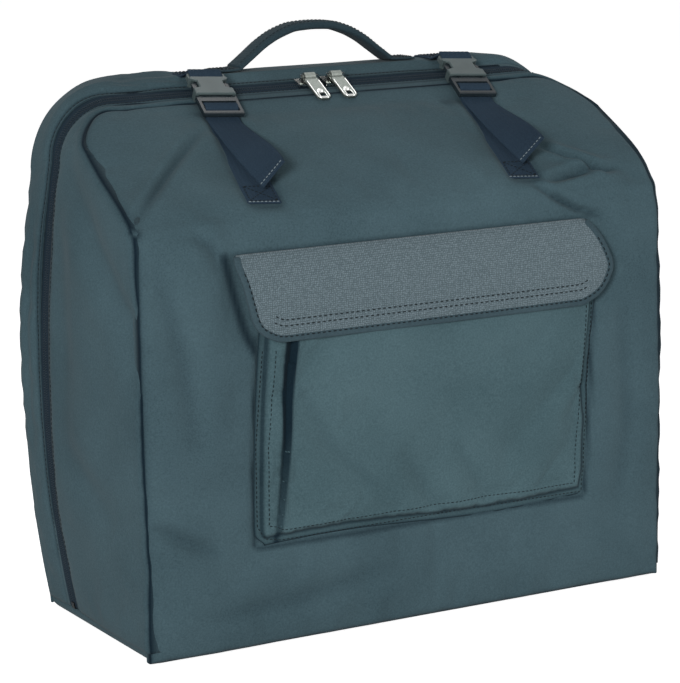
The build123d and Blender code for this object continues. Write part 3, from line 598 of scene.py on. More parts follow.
def padding(p, n, seams, seed, groove=2.8, crown=3.0, lumps=1.3, folds=(), shade=0.11):
    """Moves a padded face: lowered at its seams, full between them, uneven all over; also gives
    painted shade at its seams and folds.
    """
    d = np.full(p.shape[:-1], FAR)
    for path in seams:
        d = np.minimum(d, to_path(p, path)[0])
    lift = -groove * bell(d, 2.3) + crown * (1 - np.exp(-d / 30.0))
    # painted shade: darker in the seams' grooves, with a soft haze beside them
    dark = bell(d, 1.3) + 0.22 * bell(d, 5.0)
    lift += lumps * noise(p, 150.0, seed) + 0.3 * lumps * noise(p, 48.0, seed + 1)
    for path, depth, width in folds:
        lift += fold_shape(p, path, depth, width)
        away, share = to_path(p, path)
        fade = np.sin(share * math.pi).clip(0) ** 0.5
        # painted shade along the fold's valley
        dark += shade * depth * fade * bell(away, 0.5 * width)
    return p + n * lift[..., None], np.clip(dark, 0, 1)


SIM_FRAMES, SIM_SPACING = 16, 3
SIM_GROW, SIM_PRESSURE = 0.004, 1.2


def simulated(name, grid, normals, pinned, grow, pressure, cap, bend=0.6):
    """Cloth pinned at its seams, a little larger than its frame and pressed outwards from inside."""
    rows, cols = grid.shape[:2]
    at_row = np.unique(np.linspace(0, rows - 1, max(rows // SIM_SPACING, 12)).astype(int))
    at_col = np.unique(np.linspace(0, cols - 1, cols // SIM_SPACING).astype(int))
    some = np.ix_(at_row, at_col)
    coarse, outwards = grid[some], normals[some]
    turned = np.einsum("ijk,ijk->ij", grid_normals(coarse), outwards).mean() <= 0
    piece = make(name, coarse.reshape(-1, 3), grid_faces(*coarse.shape[:2], flip=turned), SHELL)
    group = piece.vertex_groups.new(name="pin")
    group.add(np.flatnonzero(pinned[some].ravel()).tolist(), 1.0, "REPLACE")
    modifier = piece.modifiers.new("cloth", "CLOTH")
    for setting, value in (
            ("quality", 5), ("mass", 0.25), ("tension_stiffness", 25),
            ("compression_stiffness", 25), ("shear_stiffness", 12), ("bending_stiffness", bend),
            ("air_damping", 4), ("vertex_group_mass", "pin"), ("use_pressure", True),
            ("uniform_pressure_force", pressure), ("shrink_min", -grow), ("shrink_max", -grow)):
        setattr(modifier.settings, setting, value)
    modifier.settings.effector_weights.gravity = 0
    modifier.collision_settings.use_collision = False
    modifier.collision_settings.use_self_collision = False
    modifier.point_cache.frame_start = 1
    modifier.point_cache.frame_end = SIM_FRAMES
    scene = bpy.context.scene
    for frame_number in range(1, SIM_FRAMES + 1):
        scene.frame_set(frame_number)
    mesh = piece.evaluated_get(bpy.context.evaluated_depsgraph_get()).to_mesh()
    flat = np.empty(len(mesh.vertices) * 3)
    mesh.vertices.foreach_get("co", flat)
    moved = flat.reshape(coarse.shape) / MM - coarse
    size = np.linalg.norm(moved, axis=-1, keepdims=True)
    moved = moved * np.minimum(1, cap * np.tanh(size / cap) / np.maximum(size, 1e-6))
    bpy.data.objects.remove(piece)
    scene.frame_set(1)
    for axis, (count, at) in enumerate(((rows, at_row), (cols, at_col))):
        moved = np.apply_along_axis(lambda v: np.interp(np.arange(count), at, v), axis, moved)
    return grid + moved


def outward(grid, centre=(0, 0, 200)):
    """Normals of a grid, turned away from the middle of the case."""
    normals = grid_normals(grid)
    sign = np.sign(np.einsum("ijk,ijk->ij", grid - np.array(centre, float), normals))
    return normals * np.sign(np.median(sign))


def cover(piece, body, node):
    """A padded cover in the shell's fabric stands for its node."""
    settle(piece, body, "shell_fabric", node)


def front_grid(inset, rows=150, cols=150):
    """Front and sloping panel as one cloth, from the ground edge to the top seam."""
    runs = edged(2.0, FRONT_HEIGHT + SLOPE_LONG, rows)
    y, z = profile(runs)
    y_right, z_right = profile(runs, 1.0)
    width = smoothed(half_width(y, z), 5)[:, None]
    u = edged(-250, 250, cols) / 250
    near = np.clip((u - FULLER_FROM) / FULLER_OVER, 0, 1)
    near = near * near * (3 - 2 * near)
    grid = points_of(width * u, y[:, None] + (y_right - y)[:, None] * near,
                     z[:, None] + (z_right - z)[:, None] * near)
    normals = outward(grid)
    return grid - normals * inset, normals


# each drawn fold: its places, its depth and its width
FRONT_FOLDS = (
    ([(-248, -102, 362), (-199, -58, 389), (-140, -8, 419)], 2.6, 5.0),
    ([(156, -62, 386), (176, -77, 377), (204, -93, 367), (222, -90, 369)], 3.4, 5.0),
    ([(138, -101, 364), (172, -95, 367), (204, -91, 369)], 3.4, 5.0),
    ([(124, -101, 363), (146, -108, 350), (166, -110, 339), (192, -110, 331)], 3.8, 4.0),
    ([(-246, -110, 119), (-217, -110, 101), (-184, -110, 84)], 1.7, 8.0),
    ([(209, -110, 262), (214, -110, 150), (199, -110, 60)], 1.3, 16.0),
    ([(-17, -110, 55), (-113, -110, 38), (-206, -110, 34)], 1.2, 14.0),
    ([(-236, -110, 330), (-214, -110, 250), (-205, -110, 160)], 1.4, 16.0),
    ([(-205, -110, 352), (-185, -110, 338), (-176, -110, 320)], 1.6, 8.0),
)
# path of a painted shadow on the panel beside the flap's left edge
FLAP_SHADOW_PATH = [(-174, FRONT, 329), (-167, FRONT, 300), (-159, FRONT, 272), (-150, FRONT, 250)]
# spot of painted shade at the pinch where the left fold meets the bend
PINCH_SHADE_SPOT = np.array([-250, FRONT + 2.9, FRONT_HEIGHT - 3])


def held_places(grid):
    """1 where the straps and the zip's pulls lie on the slope, so that the cloth is flat there."""
    x, y, z = np.moveaxis(grid, -1, 0)
    held = np.zeros(x.shape)
    for place in STRAPS.values():
        start, across, along, _ = strap_axes(place)
        a, b = (grid - start) @ across, (grid - start) @ along
        bed = soft_box(a, *STRAP_BED[0], 2.0) * soft_box(b, *STRAP_BED[1], 2.5)
        held = np.maximum(held, bed * (z > FRONT_HEIGHT - 5))
    return np.maximum(held, soft_box(x, *PULL_BED[0], 6.0) * soft_box(y, *PULL_BED[1], 4.0))


def front_cover():
    """Padded front and slope, laid flat behind the pocket, the flap and the straps."""
    grid, normals = front_grid(0.0)
    inner, _ = front_grid(PAD - 0.6)
    seams = [grid[0, ::6], grid[-1, ::3], grid[::2, 0], grid[::2, -1]]
    outer, dark = padding(grid, normals, seams, 11, folds=FRONT_FOLDS, shade=0.17)
    lift = np.einsum("ijk,ijk->ij", outer - grid, normals)
    x, y, z = np.moveaxis(grid, -1, 0)
    upright = y < FRONT + 6
    held = held_places(grid)
    v = np.clip((z - POCKET_LOW) / (POCKET_TOP - POCKET_LOW), 0, 1)
    behind_pocket = upright * soft_box(z, POCKET_LOW - 0.6, 298, 1.6) * soft_box(
        x, POCKET_LEFT + POCKET_LEFT_LEAN * v ** 2 - 0.6,
        POCKET_RIGHT + POCKET_RIGHT_LEAN * v + 0.6, 1.6)
    ring = np.abs(behind_pocket - 0.5) + 2.0 * (z > 262)
    behind_flap = upright * soft_box(x, *FLAP_BED[0], 4.0) * soft_box(z, *FLAP_BED[1], 3.0)
    flat = np.maximum(behind_pocket, behind_flap)
    valleys = sum(np.minimum(0, fold_shape(grid, *fold)) for fold in FRONT_FOLDS)
    lift = (lift * (1 - held) - 0.35 * held) * (1 - flat) + (valleys - 0.5) * flat
    lift = lift - 0.9 * bell(ring, 0.28)
    # the front cover's painted shade and painted shadow, one mark a line
    dark = np.maximum.reduce([
        # painted shade of the seams and folds, left off where the pocket and the flap lie over the
        # panel
        dark * (1 - flat * (z < FLAP_TOP)),
        # painted shade in the groove round the pocket's edge
        0.7 * bell(ring, 0.25),
        # painted shade in a line just above the flap's top edge, where it meets the panel
        0.35 * soft_box(x, -168, 190, 2.0) * bell(z - FLAP_TOP - 1.5, 1.6) * upright,
        # painted shade along the edges of the straps' flat beds on the slope
        0.45 * bell(np.abs(held - 0.5), 0.3) * (z < 430) * (np.abs(x) > 100),
        # painted shade: a dark spot at the pinch on the left bend
        bell(np.linalg.norm(grid - PINCH_SHADE_SPOT, axis=-1), 5.0),
        # painted shadow on the panel beside the flap's left edge
        0.9 * bell(to_path(grid, FLAP_SHADOW_PATH)[0], 4.5)])
    pinned = border(grid.shape) | (held > 0.5) | (flat > 0.5)
    cloth_grid = simulated("front_cloth", grid, normals, pinned, SIM_GROW, SIM_PRESSURE, 5.0)
    outer = cloth_grid + normals * lift[..., None]
    cover(slab("front_panel_cover", outer, inner, SHELL, dark=dark), "case", "front_panel")


def seam_y(q):
    """Where the gusset meets the front panel, round the outline."""
    y = slope_y(ring_point(FRONT, q)[..., 2], q > 2.5)
    for _ in range(30):
        z = ring_point(y, q)[..., 2]
        y = 0.5 * y + 0.5 * np.minimum(slope_y(z, q > 2.5), SLOPE_TOP_Y)
    return y


def gusset_grid(q, start, end, rows):
    """Part of the case's outline between two depths, with its normals."""
    v = (edged(0, 150, rows, False) / 150 if rows > 20 else np.linspace(0, 1, rows))[:, None]
    if np.median(start) > ZIP_Y:
        v = 1 - v[::-1]
    grid = ring_point(start + v * (end - start), q)
    return grid, outward(grid)


# each drawn fold: its places, its depth and its width
SIDE_FOLDS = (
    ([(-256, 14, 404), (-258, -43, 345), (-256, -98, 286), (-252, -106, 223)], 2.3, 20.0),
    ([(-260, 24, 385), (-264, 8, 255), (-262, 4, 142)], 1.5, 26.0),
    ([(-254, -66, 110), (-258, -10, 150), (-260, 25, 165)], 1.3, 20.0),
    ([(256, 14, 404), (258, -43, 345), (256, -98, 286)], 2.0, 20.0),
    ([(260, 12, 250), (262, 4, 142), (258, -4, 60)], 1.5, 24.0),
)
LID_FOLDS = (
    ([(-262, 70, 360), (-263, 78, 255), (-261, 74, 142)], 1.4, 9.0),
    ([(262, 70, 360), (263, 78, 255), (261, 74, 142)], 1.4, 9.0),
    ([(-150, 84, 459), (-60, 78, 459), (-20, 84, 459)], 1.2, 9.0),
)
GUSSET_ROWS = 64


def ring_cover(name, node, body, q, start, end, far_row, seed, folds):
    """Padded gusset between two depths, thinning to a stitched hem beside the zip."""
    grid, normals = gusset_grid(q, start, end, GUSSET_ROWS)
    reach = np.abs(grid[..., 1] - ZIP_Y)
    full = np.clip((reach - TAPE_HALF) / 5.0, 0, 1)
    thick = 1.0 + (PAD - 1.8) * full * full * (3 - 2 * full)
    # padding gives faint painted shade along the folds here
    outer, dark = padding(grid, normals, [grid[far_row, ::2]], seed, folds=folds, groove=2.6,
                          crown=0.0, shade=0.03)
    pinned = border(grid.shape) | (reach < HEM_HALF + 7)
    outer += simulated(name + "_cloth", grid, normals, pinned, SIM_GROW, SIM_PRESSURE, 4.0) - grid
    beside = np.clip((reach - HEM_HALF) / 16.0, 0, 1)
    ridge = bell(reach - HEM_HALF - 3.4, 1.6)
    outer += normals * (2.2 * np.sin(beside * math.pi / 2) - 0.2 - 0.9 * ridge)[..., None]
    under_pulls = soft_box(grid[..., 0], -116, 132, 5.0) * (grid[..., 2] > 420)
    rise = np.einsum("ijk,ijk->ij", outer - grid, normals)
    outer += normals * (under_pulls * (np.minimum(rise, -0.3) - rise))[..., None]
    # painted shade in the sunk line beside the hem and at the hem's edge by the zip
    dark = np.clip(dark + 0.6 * ridge + 0.7 * bell(reach - HEM_HALF, 0.9), 0, 1)
    inner = grid - normals * thick[..., None]
    cover(slab(name, outer, inner, SHELL, level=0, dark=dark), body, node)
    row = int(np.argmin(np.abs(np.median(reach, axis=1) - HEM_HALF - 3.2)))
    away = normals[row, 4:-4]
    path = outer[row, 4:-4] + away * 0.1
    stitches(name.replace("cover", "hem_stitches"), [(path, nearest(path, away))], body,
             "shell_fabric")


def gusset_covers():
    """The padded sides and top on both sides of the zip."""
    q = q_row()
    ring_cover("front_gusset_cover", "front_gusset", "case", q, seam_y(q), ZIP_Y - HEM_HALF,
               0, 21, SIDE_FOLDS)
    ring_cover("lid_gusset_cover", "lid_gusset", "lid", q, ZIP_Y + HEM_HALF, BACK_FACE + 1.5,
               -1, 31, LID_FOLDS)


def back_grid(inset, rows=110, cols=120):
    """Back panel, flat; its outer face has soft, rounded borders."""
    z = np.linspace(3.4, CREST_Z, rows)[:, None]
    width = half_width(BACK_FACE, z)
    x = width * np.linspace(-1, 1, cols)
    d = np.minimum(width - np.abs(x), np.minimum(CREST_Z - z, z))
    rounding = 11.0 * (1 - np.clip(d / 13.0, 0, 1)) ** 2 * (inset == 0)
    return points_of(x, BACK - inset - rounding, z)


def back_cover():
    """Padded back of the lid."""
    outer = back_grid(0.0)
    outer, _ = padding(outer, outward(outer), [], 41, crown=0.0, lumps=0.8)
    outer[..., 1] = np.minimum(outer[..., 1], BACK + 3)
    cover(slab("back_panel_cover", outer, back_grid(PAD - 0.6), SHELL), "lid", "back_panel")


def base_cover():
    """Padded base with rounded ends, and the fold on which the lid swings."""
    end = WIDTH / 2 - 1
    x, y = plane(-end, end, 130, FRONT + 4, BACK_FACE - 0.6, 60)
    d = np.minimum(WIDTH / 2 - np.abs(x), np.minimum(y - FRONT, 60))
    low = 0.2 + 8.0 * (1 - np.clip(d / 9.0, 0, 1)) ** 2
    cover(slab("base_cover", points_of(x, y, low), points_of(x, y, PAD - 0.5), SHELL),
          "case", "base_panel")
    end = WIDTH / 2 - PAD
    x, y = plane(-end, end, 90, BACK_FACE, BACK, 8)
    fold = slab("hinge_fold_cover", points_of(x, y, 0.2),
                points_of(x, y, 2.5 - 0.1 * np.cos(x / 9.0)), SHELL)
    settle(fold, "case", "shell_fabric", "hinge_fold")


# ---- linings ----
def lining():
    """Plush lining: front and slope, sides and floor of the front part, and the lid's sides."""
    far, near = PAD + LINING - 0.3, PAD + 0.4
    keep = slice(4, 58), slice(3, 67)
    outer, normals = front_grid(near, 60, 70)
    inner, _ = front_grid(far, 60, 70)
    quilt = 0.025 * np.sin(outer[..., 0] / 11.0) * np.sin(outer[..., 2] / 11.0)
    face = slab("front_lining_face", outer[keep], (inner - normals * quilt[..., None])[keep], LINER)
    settle(face, "case", "lining", "front_lining")
    q = q_row(60, 18, 56)
    for name, body, node, start, end in (
            ("front_lining_sides", "case", "front_lining",
             np.minimum(seam_y(q) + PAD + 1, ZIP_Y - 22), ZIP_Y - 14),
            ("lid_lining_sides", "lid", "lid_lining", ZIP_Y + 14, BACK_FACE - LINING + 0.4)):
        flat, n = gusset_grid(q, start, end, 14)
        flat[..., 0] = np.clip(flat[..., 0], -WIDTH / 2, WIDTH / 2)
        settle(slab(name, flat - n * near, flat - n * far, LINER), body, "lining", node)
    end = WIDTH / 2 - PAD - 2.5
    x, y = plane(-end, end, 60, FRONT + PAD + 3, BACK_FACE - 4, 24)
    top = PAD + LINING - 0.25 + 0.2 * np.sin(x / 12.0) * np.sin(y / 12.0)
    floor = slab("front_lining_floor", points_of(x, y, PAD + 0.3), points_of(x, y, top), LINER)
    settle(floor, "case", "lining", "front_lining")
    x, _, z = np.moveaxis(back_grid(PAD + 0.4, 60, 70)[3:-3, 4:-4], -1, 0)
    deep = BACK_FACE - LINING + 0.3 + 0.2 * np.sin(x / 12) * np.sin(z / 12)
    back = slab("lid_lining_back", points_of(x, BACK_FACE - 0.3, z), points_of(x, deep, z), LINER)
    settle(back, "lid", "lining", "lid_lining")


# ---- zip ----
def ring_path(q, y, depth):
    """Points round the outline at depth y, let in below the surface."""
    here = ring_point(y, q)
    n = unit(np.cross(np.gradient(here, axis=0), ring_point(y + 0.5, q) - here))
    n *= np.sign(np.einsum("ij,ij->i", here - np.array([0, y, 200.0]), n))[:, None]
    return here - n * depth


TAPE_TOP, TAPE_UNDER, COIL_DEPTH, COIL_OFF = 1.0, 2.5, 1.4, 2.0
COIL_STEP, COIL_TURN, COIL_RADIUS, COIL_WIRE = 0.22, 2.1, 1.05, 0.33


def zip_run():
    """Woven tape and wound teeth on both sides of the zip."""
    q = q_row()
    for body, side, way in (("case", "front", -1), ("lid", "lid", 1)):
        grid, n = gusset_grid(q, ZIP_Y + way * TAPE_HALF, ZIP_Y + way * 0.5, 10)
        tape = slab(side + "_tape_weave", grid - n * TAPE_TOP, grid - n * TAPE_UNDER, TAPE)
        settle(tape, body, "zip_tape", side + "_zip_tape")
        middle = even_path(ring_path(q, ZIP_Y + way * COIL_OFF, COIL_DEPTH), COIL_STEP)
        turn = 2 * math.pi * np.arange(len(middle))[:, None] * COIL_STEP / COIL_TURN
        up = np.cross(unit(np.gradient(middle, axis=0)), Y_AXIS)
        wire = middle + COIL_RADIUS * (Y_AXIS * np.cos(turn) + up * np.sin(turn))
        coil = tube(side + "_coil_teeth", wire, COIL_WIRE, COIL, 4)
        settle(coil, body, "zip_coil", side + "_zip_coil")


# ---- pocket ----
# each drawn fold: its places (x, z), its depth and its width
POCKET_FOLDS = (
    ([(-112, 214), (-85, 165), (-46, 128)], 1.7, 12.0),
    ([(-20, 152), (8, 114), (26, 91)], 1.3, 10.0),
    ([(32, 152), (54, 119), (70, 92)], 1.2, 10.0),
    ([(128, 250), (110, 232), (82, 222)], 1.0, 14.0),
    ([(172, 196), (158, 158), (160, 112)], 1.0, 8.0),
    ([(-148, 140), (-143, 170), (-140, 215)], 0.9, 5.0),
)


SEAM_RISE, PUFF_RISE, FULL_RISE = 1.6, 4.6, 4.2       # heights of the pocket's cloth, added up
PLEAT_LIP, PLEAT_DEPTH = 4.2, 5.2
ROOM_UNDER_FLAP = 9.4


def pocket():
    """Pocket face, puffed where it is full, with a deep pleat beside its left edge."""
    u, v = plane(0, 1, 220, 0, 1, 150)
    left = POCKET_LEFT + POCKET_LEFT_LEAN * v ** 2 + 9.0 * bell(v, 0.03)
    right = POCKET_RIGHT + POCKET_RIGHT_LEAN * v + 2.0 * np.sin(v * 9)
    x = left + (right - left) * u
    above = (POCKET_TOP - POCKET_LOW) * v
    z = POCKET_LOW + above + 2.6 * np.sin((x - POCKET_LEFT) / 48.0) * (1 - v) ** 6
    edge = np.minimum(np.minimum(x - left, right - x), above)
    rise = 1 / (1 + np.exp(-(edge - 8.0) / 0.9))
    full = np.sin(v * math.pi * 0.62) * np.sin(u * math.pi) ** 0.7
    d = x - (PLEAT_LOW_X + (PLEAT_HIGH_X - PLEAT_LOW_X) * v + 1.5 * np.sin(v * 7))
    deep = 0.35 + 0.65 * v
    pleat = deep * np.where(d > 0, PLEAT_LIP * np.exp(-d / 20.0), -PLEAT_DEPTH * np.exp(d / 9.0))
    puff = PUFF_RISE + FULL_RISE * full + pleat + 0.9 * noise(points_of(x, 0.0, z), 70.0, 51)
    # painted shade: darker in the sunk border band, at its foot and at the pocket's very edge
    dark = 0.8 * bell(edge - 7.0, 1.5) + 0.75 * bell(edge, 1.3) + 0.3 * (edge < 7.0)
    # painted shadow deep in the pleat beside the pocket's left part
    dark = dark + 1.6 * deep * soft_box(d, -8.5 * deep ** 1.5 - 1.0, 2.2, 0.45)
    p = points_of(x, FRONT, z)
    for places, fold_depth, width in POCKET_FOLDS:
        path = [(a, FRONT, b) for a, b in places]
        puff = puff + 1.5 * crease(p, path, fold_depth, width)
        # painted shade along the fold's valley
        dark = dark + 0.07 * fold_depth * bell(to_path(p, path)[0], 0.5 * width)
    depth = SEAM_RISE + puff * rise
    for at in range(100, 269, 21):
        depth = depth - 0.5 * bell(z - at, 5.0) * bell(right - x, 9.0)
    under_flap = np.clip((z - 250) / 12.0, 0, 1)
    depth = depth * (1 - under_flap) + np.minimum(depth, ROOM_UNDER_FLAP) * under_flap
    outer = points_of(x, FRONT - np.clip(depth, 0.9, 16.0), z)
    pinned = np.abs(d) < 1.5
    pinned[:5] = pinned[:, :4] = pinned[:, -4:] = True
    forwards = np.broadcast_to(-Y_AXIS, outer.shape)
    soft = simulated("pocket_cloth_sim", outer, forwards, pinned, 0.012, 1.0, 3.2, bend=0.3)
    outer = outer + (soft - outer) * np.clip((274 - z) / 14.0, 0, 1)[..., None]
    outer[..., 1] = np.clip(outer[..., 1], FRONT - 15.0, FRONT - 0.8)
    inner = outer.copy()
    inner[..., 1] = np.minimum(FRONT - 0.35, outer[..., 1] + 1.2)
    piece = slab("pocket_cloth", outer, inner, POCKET, level=0, dark=dark)
    settle(piece, "case", "shell_fabric", "pocket_panel")
    depth_at = depth_finder(outer)
    rows = []
    for inset in (2.0, 11.5):
        line = even_path(
            [(-145 + inset, 250), (-153.5 + inset, 170), (-154 + inset, 104),
             (-147 + inset, 91 + inset), (-130, 88 + inset), (40, 89 + inset),
             (168 - inset, 88 + inset), (175 - inset, 190), (181 - inset, 262)], 2.0)
        rows.append(([(a, depth_at((a, b)) - 0.1, b) for a, b in line], -Y_AXIS))
    thread = stitches("pocket_stitches", rows, "case", "shell_fabric")


# ---- flap ----
def flap_outline(z):
    """Left and right edge of the flap at height z, before its corners are softened."""
    above, tall = z - FLAP_LOW, FLAP_TOP - FLAP_LOW
    corner = FLAP_CORNER * (1 - np.sqrt(1 - np.clip(1 - above / FLAP_CORNER, 0, 1) ** 2))
    tucked = corner + 3.2 * bell(tall - above, 2.6)
    left = -152.0 - 18.0 * np.clip(above / tall, 0, 1)
    right = np.where(above > FLAP_STEP,
                     193.0 - 18.0 * np.clip((above - FLAP_STEP) / (tall - FLAP_STEP), 0, 1),
                     180.4 + 12.6 * np.clip(above / FLAP_STEP, 0, 1))
    return left + tucked, right - tucked


def flap_edges(z):
    """Left and right edge of the flap at height z, with soft corners."""
    table = np.linspace(FLAP_LOW, FLAP_TOP, 73)
    return [np.interp(z, table, smoothed(edge, 40)) for edge in flap_outline(table)]


def flap_face():
    """Middle surface of the flap."""
    u, v = plane(0, 1, FLAP_COLS, 0, 1, FLAP_ROWS)
    z = FLAP_TOP + (FLAP_LOW - FLAP_TOP) * v
    left, right = flap_edges(z)
    tuck = 2.2 * bell(FLAP_TOP - z, 3.0)
    x = (left + tuck) + (right - left - 2 * tuck) * u
    share = np.clip((FLAP_TOP - z) / (FLAP_TOP - FLAP_KNEE), 0, 1)
    y = FLAP_AXIS_Y + (FLAP_MID_Y - FLAP_AXIS_Y) * np.sin(share * math.pi / 2) ** 0.9
    y = y + 0.9 * bell(FLAP_TOP - z, 2.2)
    y = y - 0.8 * np.sin((x + 10) / 55.0) * np.clip((300 - z) / 40, 0, 1) - 0.5
    lean = 1.4 * bell(x + 168, 16) + 1.2 * bell(x - 188, 12)
    y = y - 1.2 * bell(z - 286, 16) + lean * np.clip((310 - z) / 20, 0, 1)
    return points_of(x, y, z)


# offsets inwards from the flap's edge and out of its face, round the folded binding
BINDING = ((-0.738, 0.0), (-0.41, 1.5), (0.656, 2.0), (4.592, 1.95), (5.412, 1.5), (5.412, -0.7),
           (0.656, -1.5), (-0.41, -1.2))


def bound_edge(line, inwards, depth_at):
    """Folded binding down the flap's left side, round its foot and up its right side."""
    points = []
    for i, (place, way) in enumerate(zip(line, inwards)):
        pucker = 0.18 * math.sin(i * 0.9)
        for off, out in BINDING:
            spot = place + way * off
            raised = out + pucker if out > 1 else out
            points.append((spot[0], depth_at(spot) - raised, spot[1]))
    edge = make("flap_bound_edge", points, swept_faces(len(line), len(BINDING)), BIND)
    face_outwards(edge)
    soften(edge)
    return settle(edge, "flap", "binding_tape", "flap_binding")


def flap():
    """Flap in coarse fabric with its binding, its stitching and its hook and loop patches."""
    face = flap_face()
    n = outward(face, (0, 400, 290))
    n = n * np.where(np.median(n[..., 1]) > 0, -1, 1)
    cols, rows = np.arange(FLAP_COLS), np.arange(FLAP_ROWS)[::-1, None]
    from_edge = np.minimum(2.3 * np.minimum(cols, cols[::-1]), 0.8 * rows)
    thin = (0.55 + 0.45 * np.clip(from_edge / 6.0, 0, 1))[..., None]
    panel = slab("flap_cloth", face + n * 1.15 * thin, face - n * thin, FLAP, level=0)
    settle(panel, "flap", "flap_fabric", "flap_panel")
    side_z = np.linspace(FLAP_TOP + 0.2, FLAP_LOW + 0.6, 50)
    left, right = flap_edges(side_z)
    foot = [(a, FLAP_LOW) for a in np.linspace(-128, 158, 90)]
    line = [*zip(left, side_z), *foot, *zip(right[::-1], side_z[::-1])]
    line = smoothed(spaced(line, 330), 3)
    t = unit(np.gradient(line, axis=0))
    inwards = np.stack([-t[:, 1], t[:, 0]], -1)
    depth_at = depth_finder(face)
    edge = bound_edge(line, inwards, depth_at)
    rows = []
    for off, proud in ((4.2, 2.05), (13.0, 1.25), (18.0, 1.25)):
        row = line + inwards * off
        row = row[row[:, 1] < FLAP_TOP - 12]
        if off > 5:
            row = row[(row[:, 1] < FLAP_LOW + off + 4) & (np.abs(row[:, 0]) < 176)]
        rows.append(([(spot[0], depth_at(spot) - proud, spot[1]) for spot in row], -Y_AXIS))
    thread = stitches("flap_stitches", rows, "flap", "flap_fabric", 3.2, 1.6, 0.5)
    x, z = plane(-87.5, 132.5, 110, 271.2, 290.8, 12)
    loops = 0.1 * np.sin(x * 2.1) * np.sin(z * 2.3)
    for name, body, node, rear in (("flap_hook_face", "flap", "flap_hook_patch", -121.5),
                                   ("pocket_loop_face", "case", "pocket_loop_patch", -120.0)):
        patch = slab(name, points_of(x, rear - 0.7 + loops, z), points_of(x, rear, z), HOOK, 0)
        settle(patch, body, "hook_loop", node)


# ---- straps ----
def strap_axes(x):
    """Start of a strap on the slope, and the directions across it, along it and out."""
    up_y, up_z = math.cos(SLOPE), math.sin(SLOPE)
    start = np.array([x, FRONT + STRAP_START * up_y, FRONT_HEIGHT + STRAP_START * up_z])
    across = np.array([math.cos(STRAP_LEAN), -math.sin(STRAP_LEAN) * up_y,
                       -math.sin(STRAP_LEAN) * up_z])
    out = np.array([0, -up_z, up_y])
    return start, across, np.cross(out, across), out


def ribbon(name, middle, across, out, wide, thick, material, body, *nodes):
    """Flat woven strap along a middle line, with selvedges and seven raised ribs."""
    ribs = 7
    across, out = (np.broadcast_to(way, middle.shape)[:, None, :] for way in (across, out))
    u = np.linspace(-1, 1, 4 * ribs + 1)
    edge = np.clip((1 - np.abs(u)) / 0.06, 0, 1) ** 0.5
    weft = 0.05 * np.sin(np.arange(len(middle)) * 1.9)[:, None]
    half = thick / 2 * (0.55 + 0.45 * edge) + 0.16 * np.cos(u * ribs * math.pi) + weft
    grid = middle[:, None, :] + across * (u * wide / 2)[:, None]
    rise = out * half[..., None]
    return settle(slab(name, grid + rise, grid - rise, material), body, "webbing", *nodes)


def strap(side, x):
    """Front strap: from its sewn end up behind the buckle's bars and back to its loose tail."""
    start, across, along, out = strap_axes(x)
    half = WEBBING / 2
    over, under = BUCKLE_TOP + 1.15, WEBBING + 0.5 + half
    path = [(0, half), (110, half + 0.05), (BAR_UPPER - 3, half + 0.5), (BAR_UPPER, 4.0),
            (BAR_UPPER, over - 1.0), (BAR_UPPER - 1.2, over), (BAR_LOWER + 1.2, over),
            (BAR_LOWER, over - 1.0), (BAR_LOWER, under + 1.5), (BAR_LOWER - 2.5, under),
            (TAIL_START, under)]
    middle, turned = path_frames(path, start, along, out)
    share = np.linspace(0, 1, 46)[1:, None]
    twist = np.radians(65.0) * share ** 1.3
    lift = (under + WEB_WIDE / 2 * np.sin(twist) + (TAIL_LIFT - WEB_WIDE / 2) * share
            + 0.8 * np.sin(share * math.pi))
    tail = start + (TAIL_START - TAIL_RUN * share) * along + 7.0 * share * across + lift * out
    tail_across = np.cos(twist) * across + np.sin(twist) * out
    tail_out = -np.sin(twist) * across + np.cos(twist) * out
    # past the lower bar the strip lies upside down, so its outward side faces the case
    ribbon(side + "_strap_weave", np.concatenate([middle, tail]),
           np.concatenate([np.broadcast_to(across, middle.shape), tail_across]),
           np.concatenate([turned, -tail_out]), WEB_WIDE, WEBBING, WEB, "case",
           side + "_front_webbing")
    ribbon(side + "_tail_hem", (tail + tail_out * 1.5)[-6:], tail_across[-6:], tail_out[-6:],
           WEB_WIDE - 0.6, 1.2, WEB, "case")
    base = start + out * (WEBBING + 0.15)
    corners = [base + across * a + along * b for a, b in ((-12, 3), (12, 3), (12, 22), (-12, 22))]
    box_stitches(side + "_sewn_end_stitches", corners, out, "case")
    low_row = [base + across * a + along * 1.3 for a in (-14, 14)]
    end_row = [tail[-2] + tail_out[-2] * 2.4 + tail_across[-2] * a for a in (-13.5, 13.5)]
    stitches(side + "_hem_rows", [(low_row, out), (end_row, tail_out[-2])], "case", "webbing",
             2.6, 0.8, 0.42, thread=PALE_THREAD)


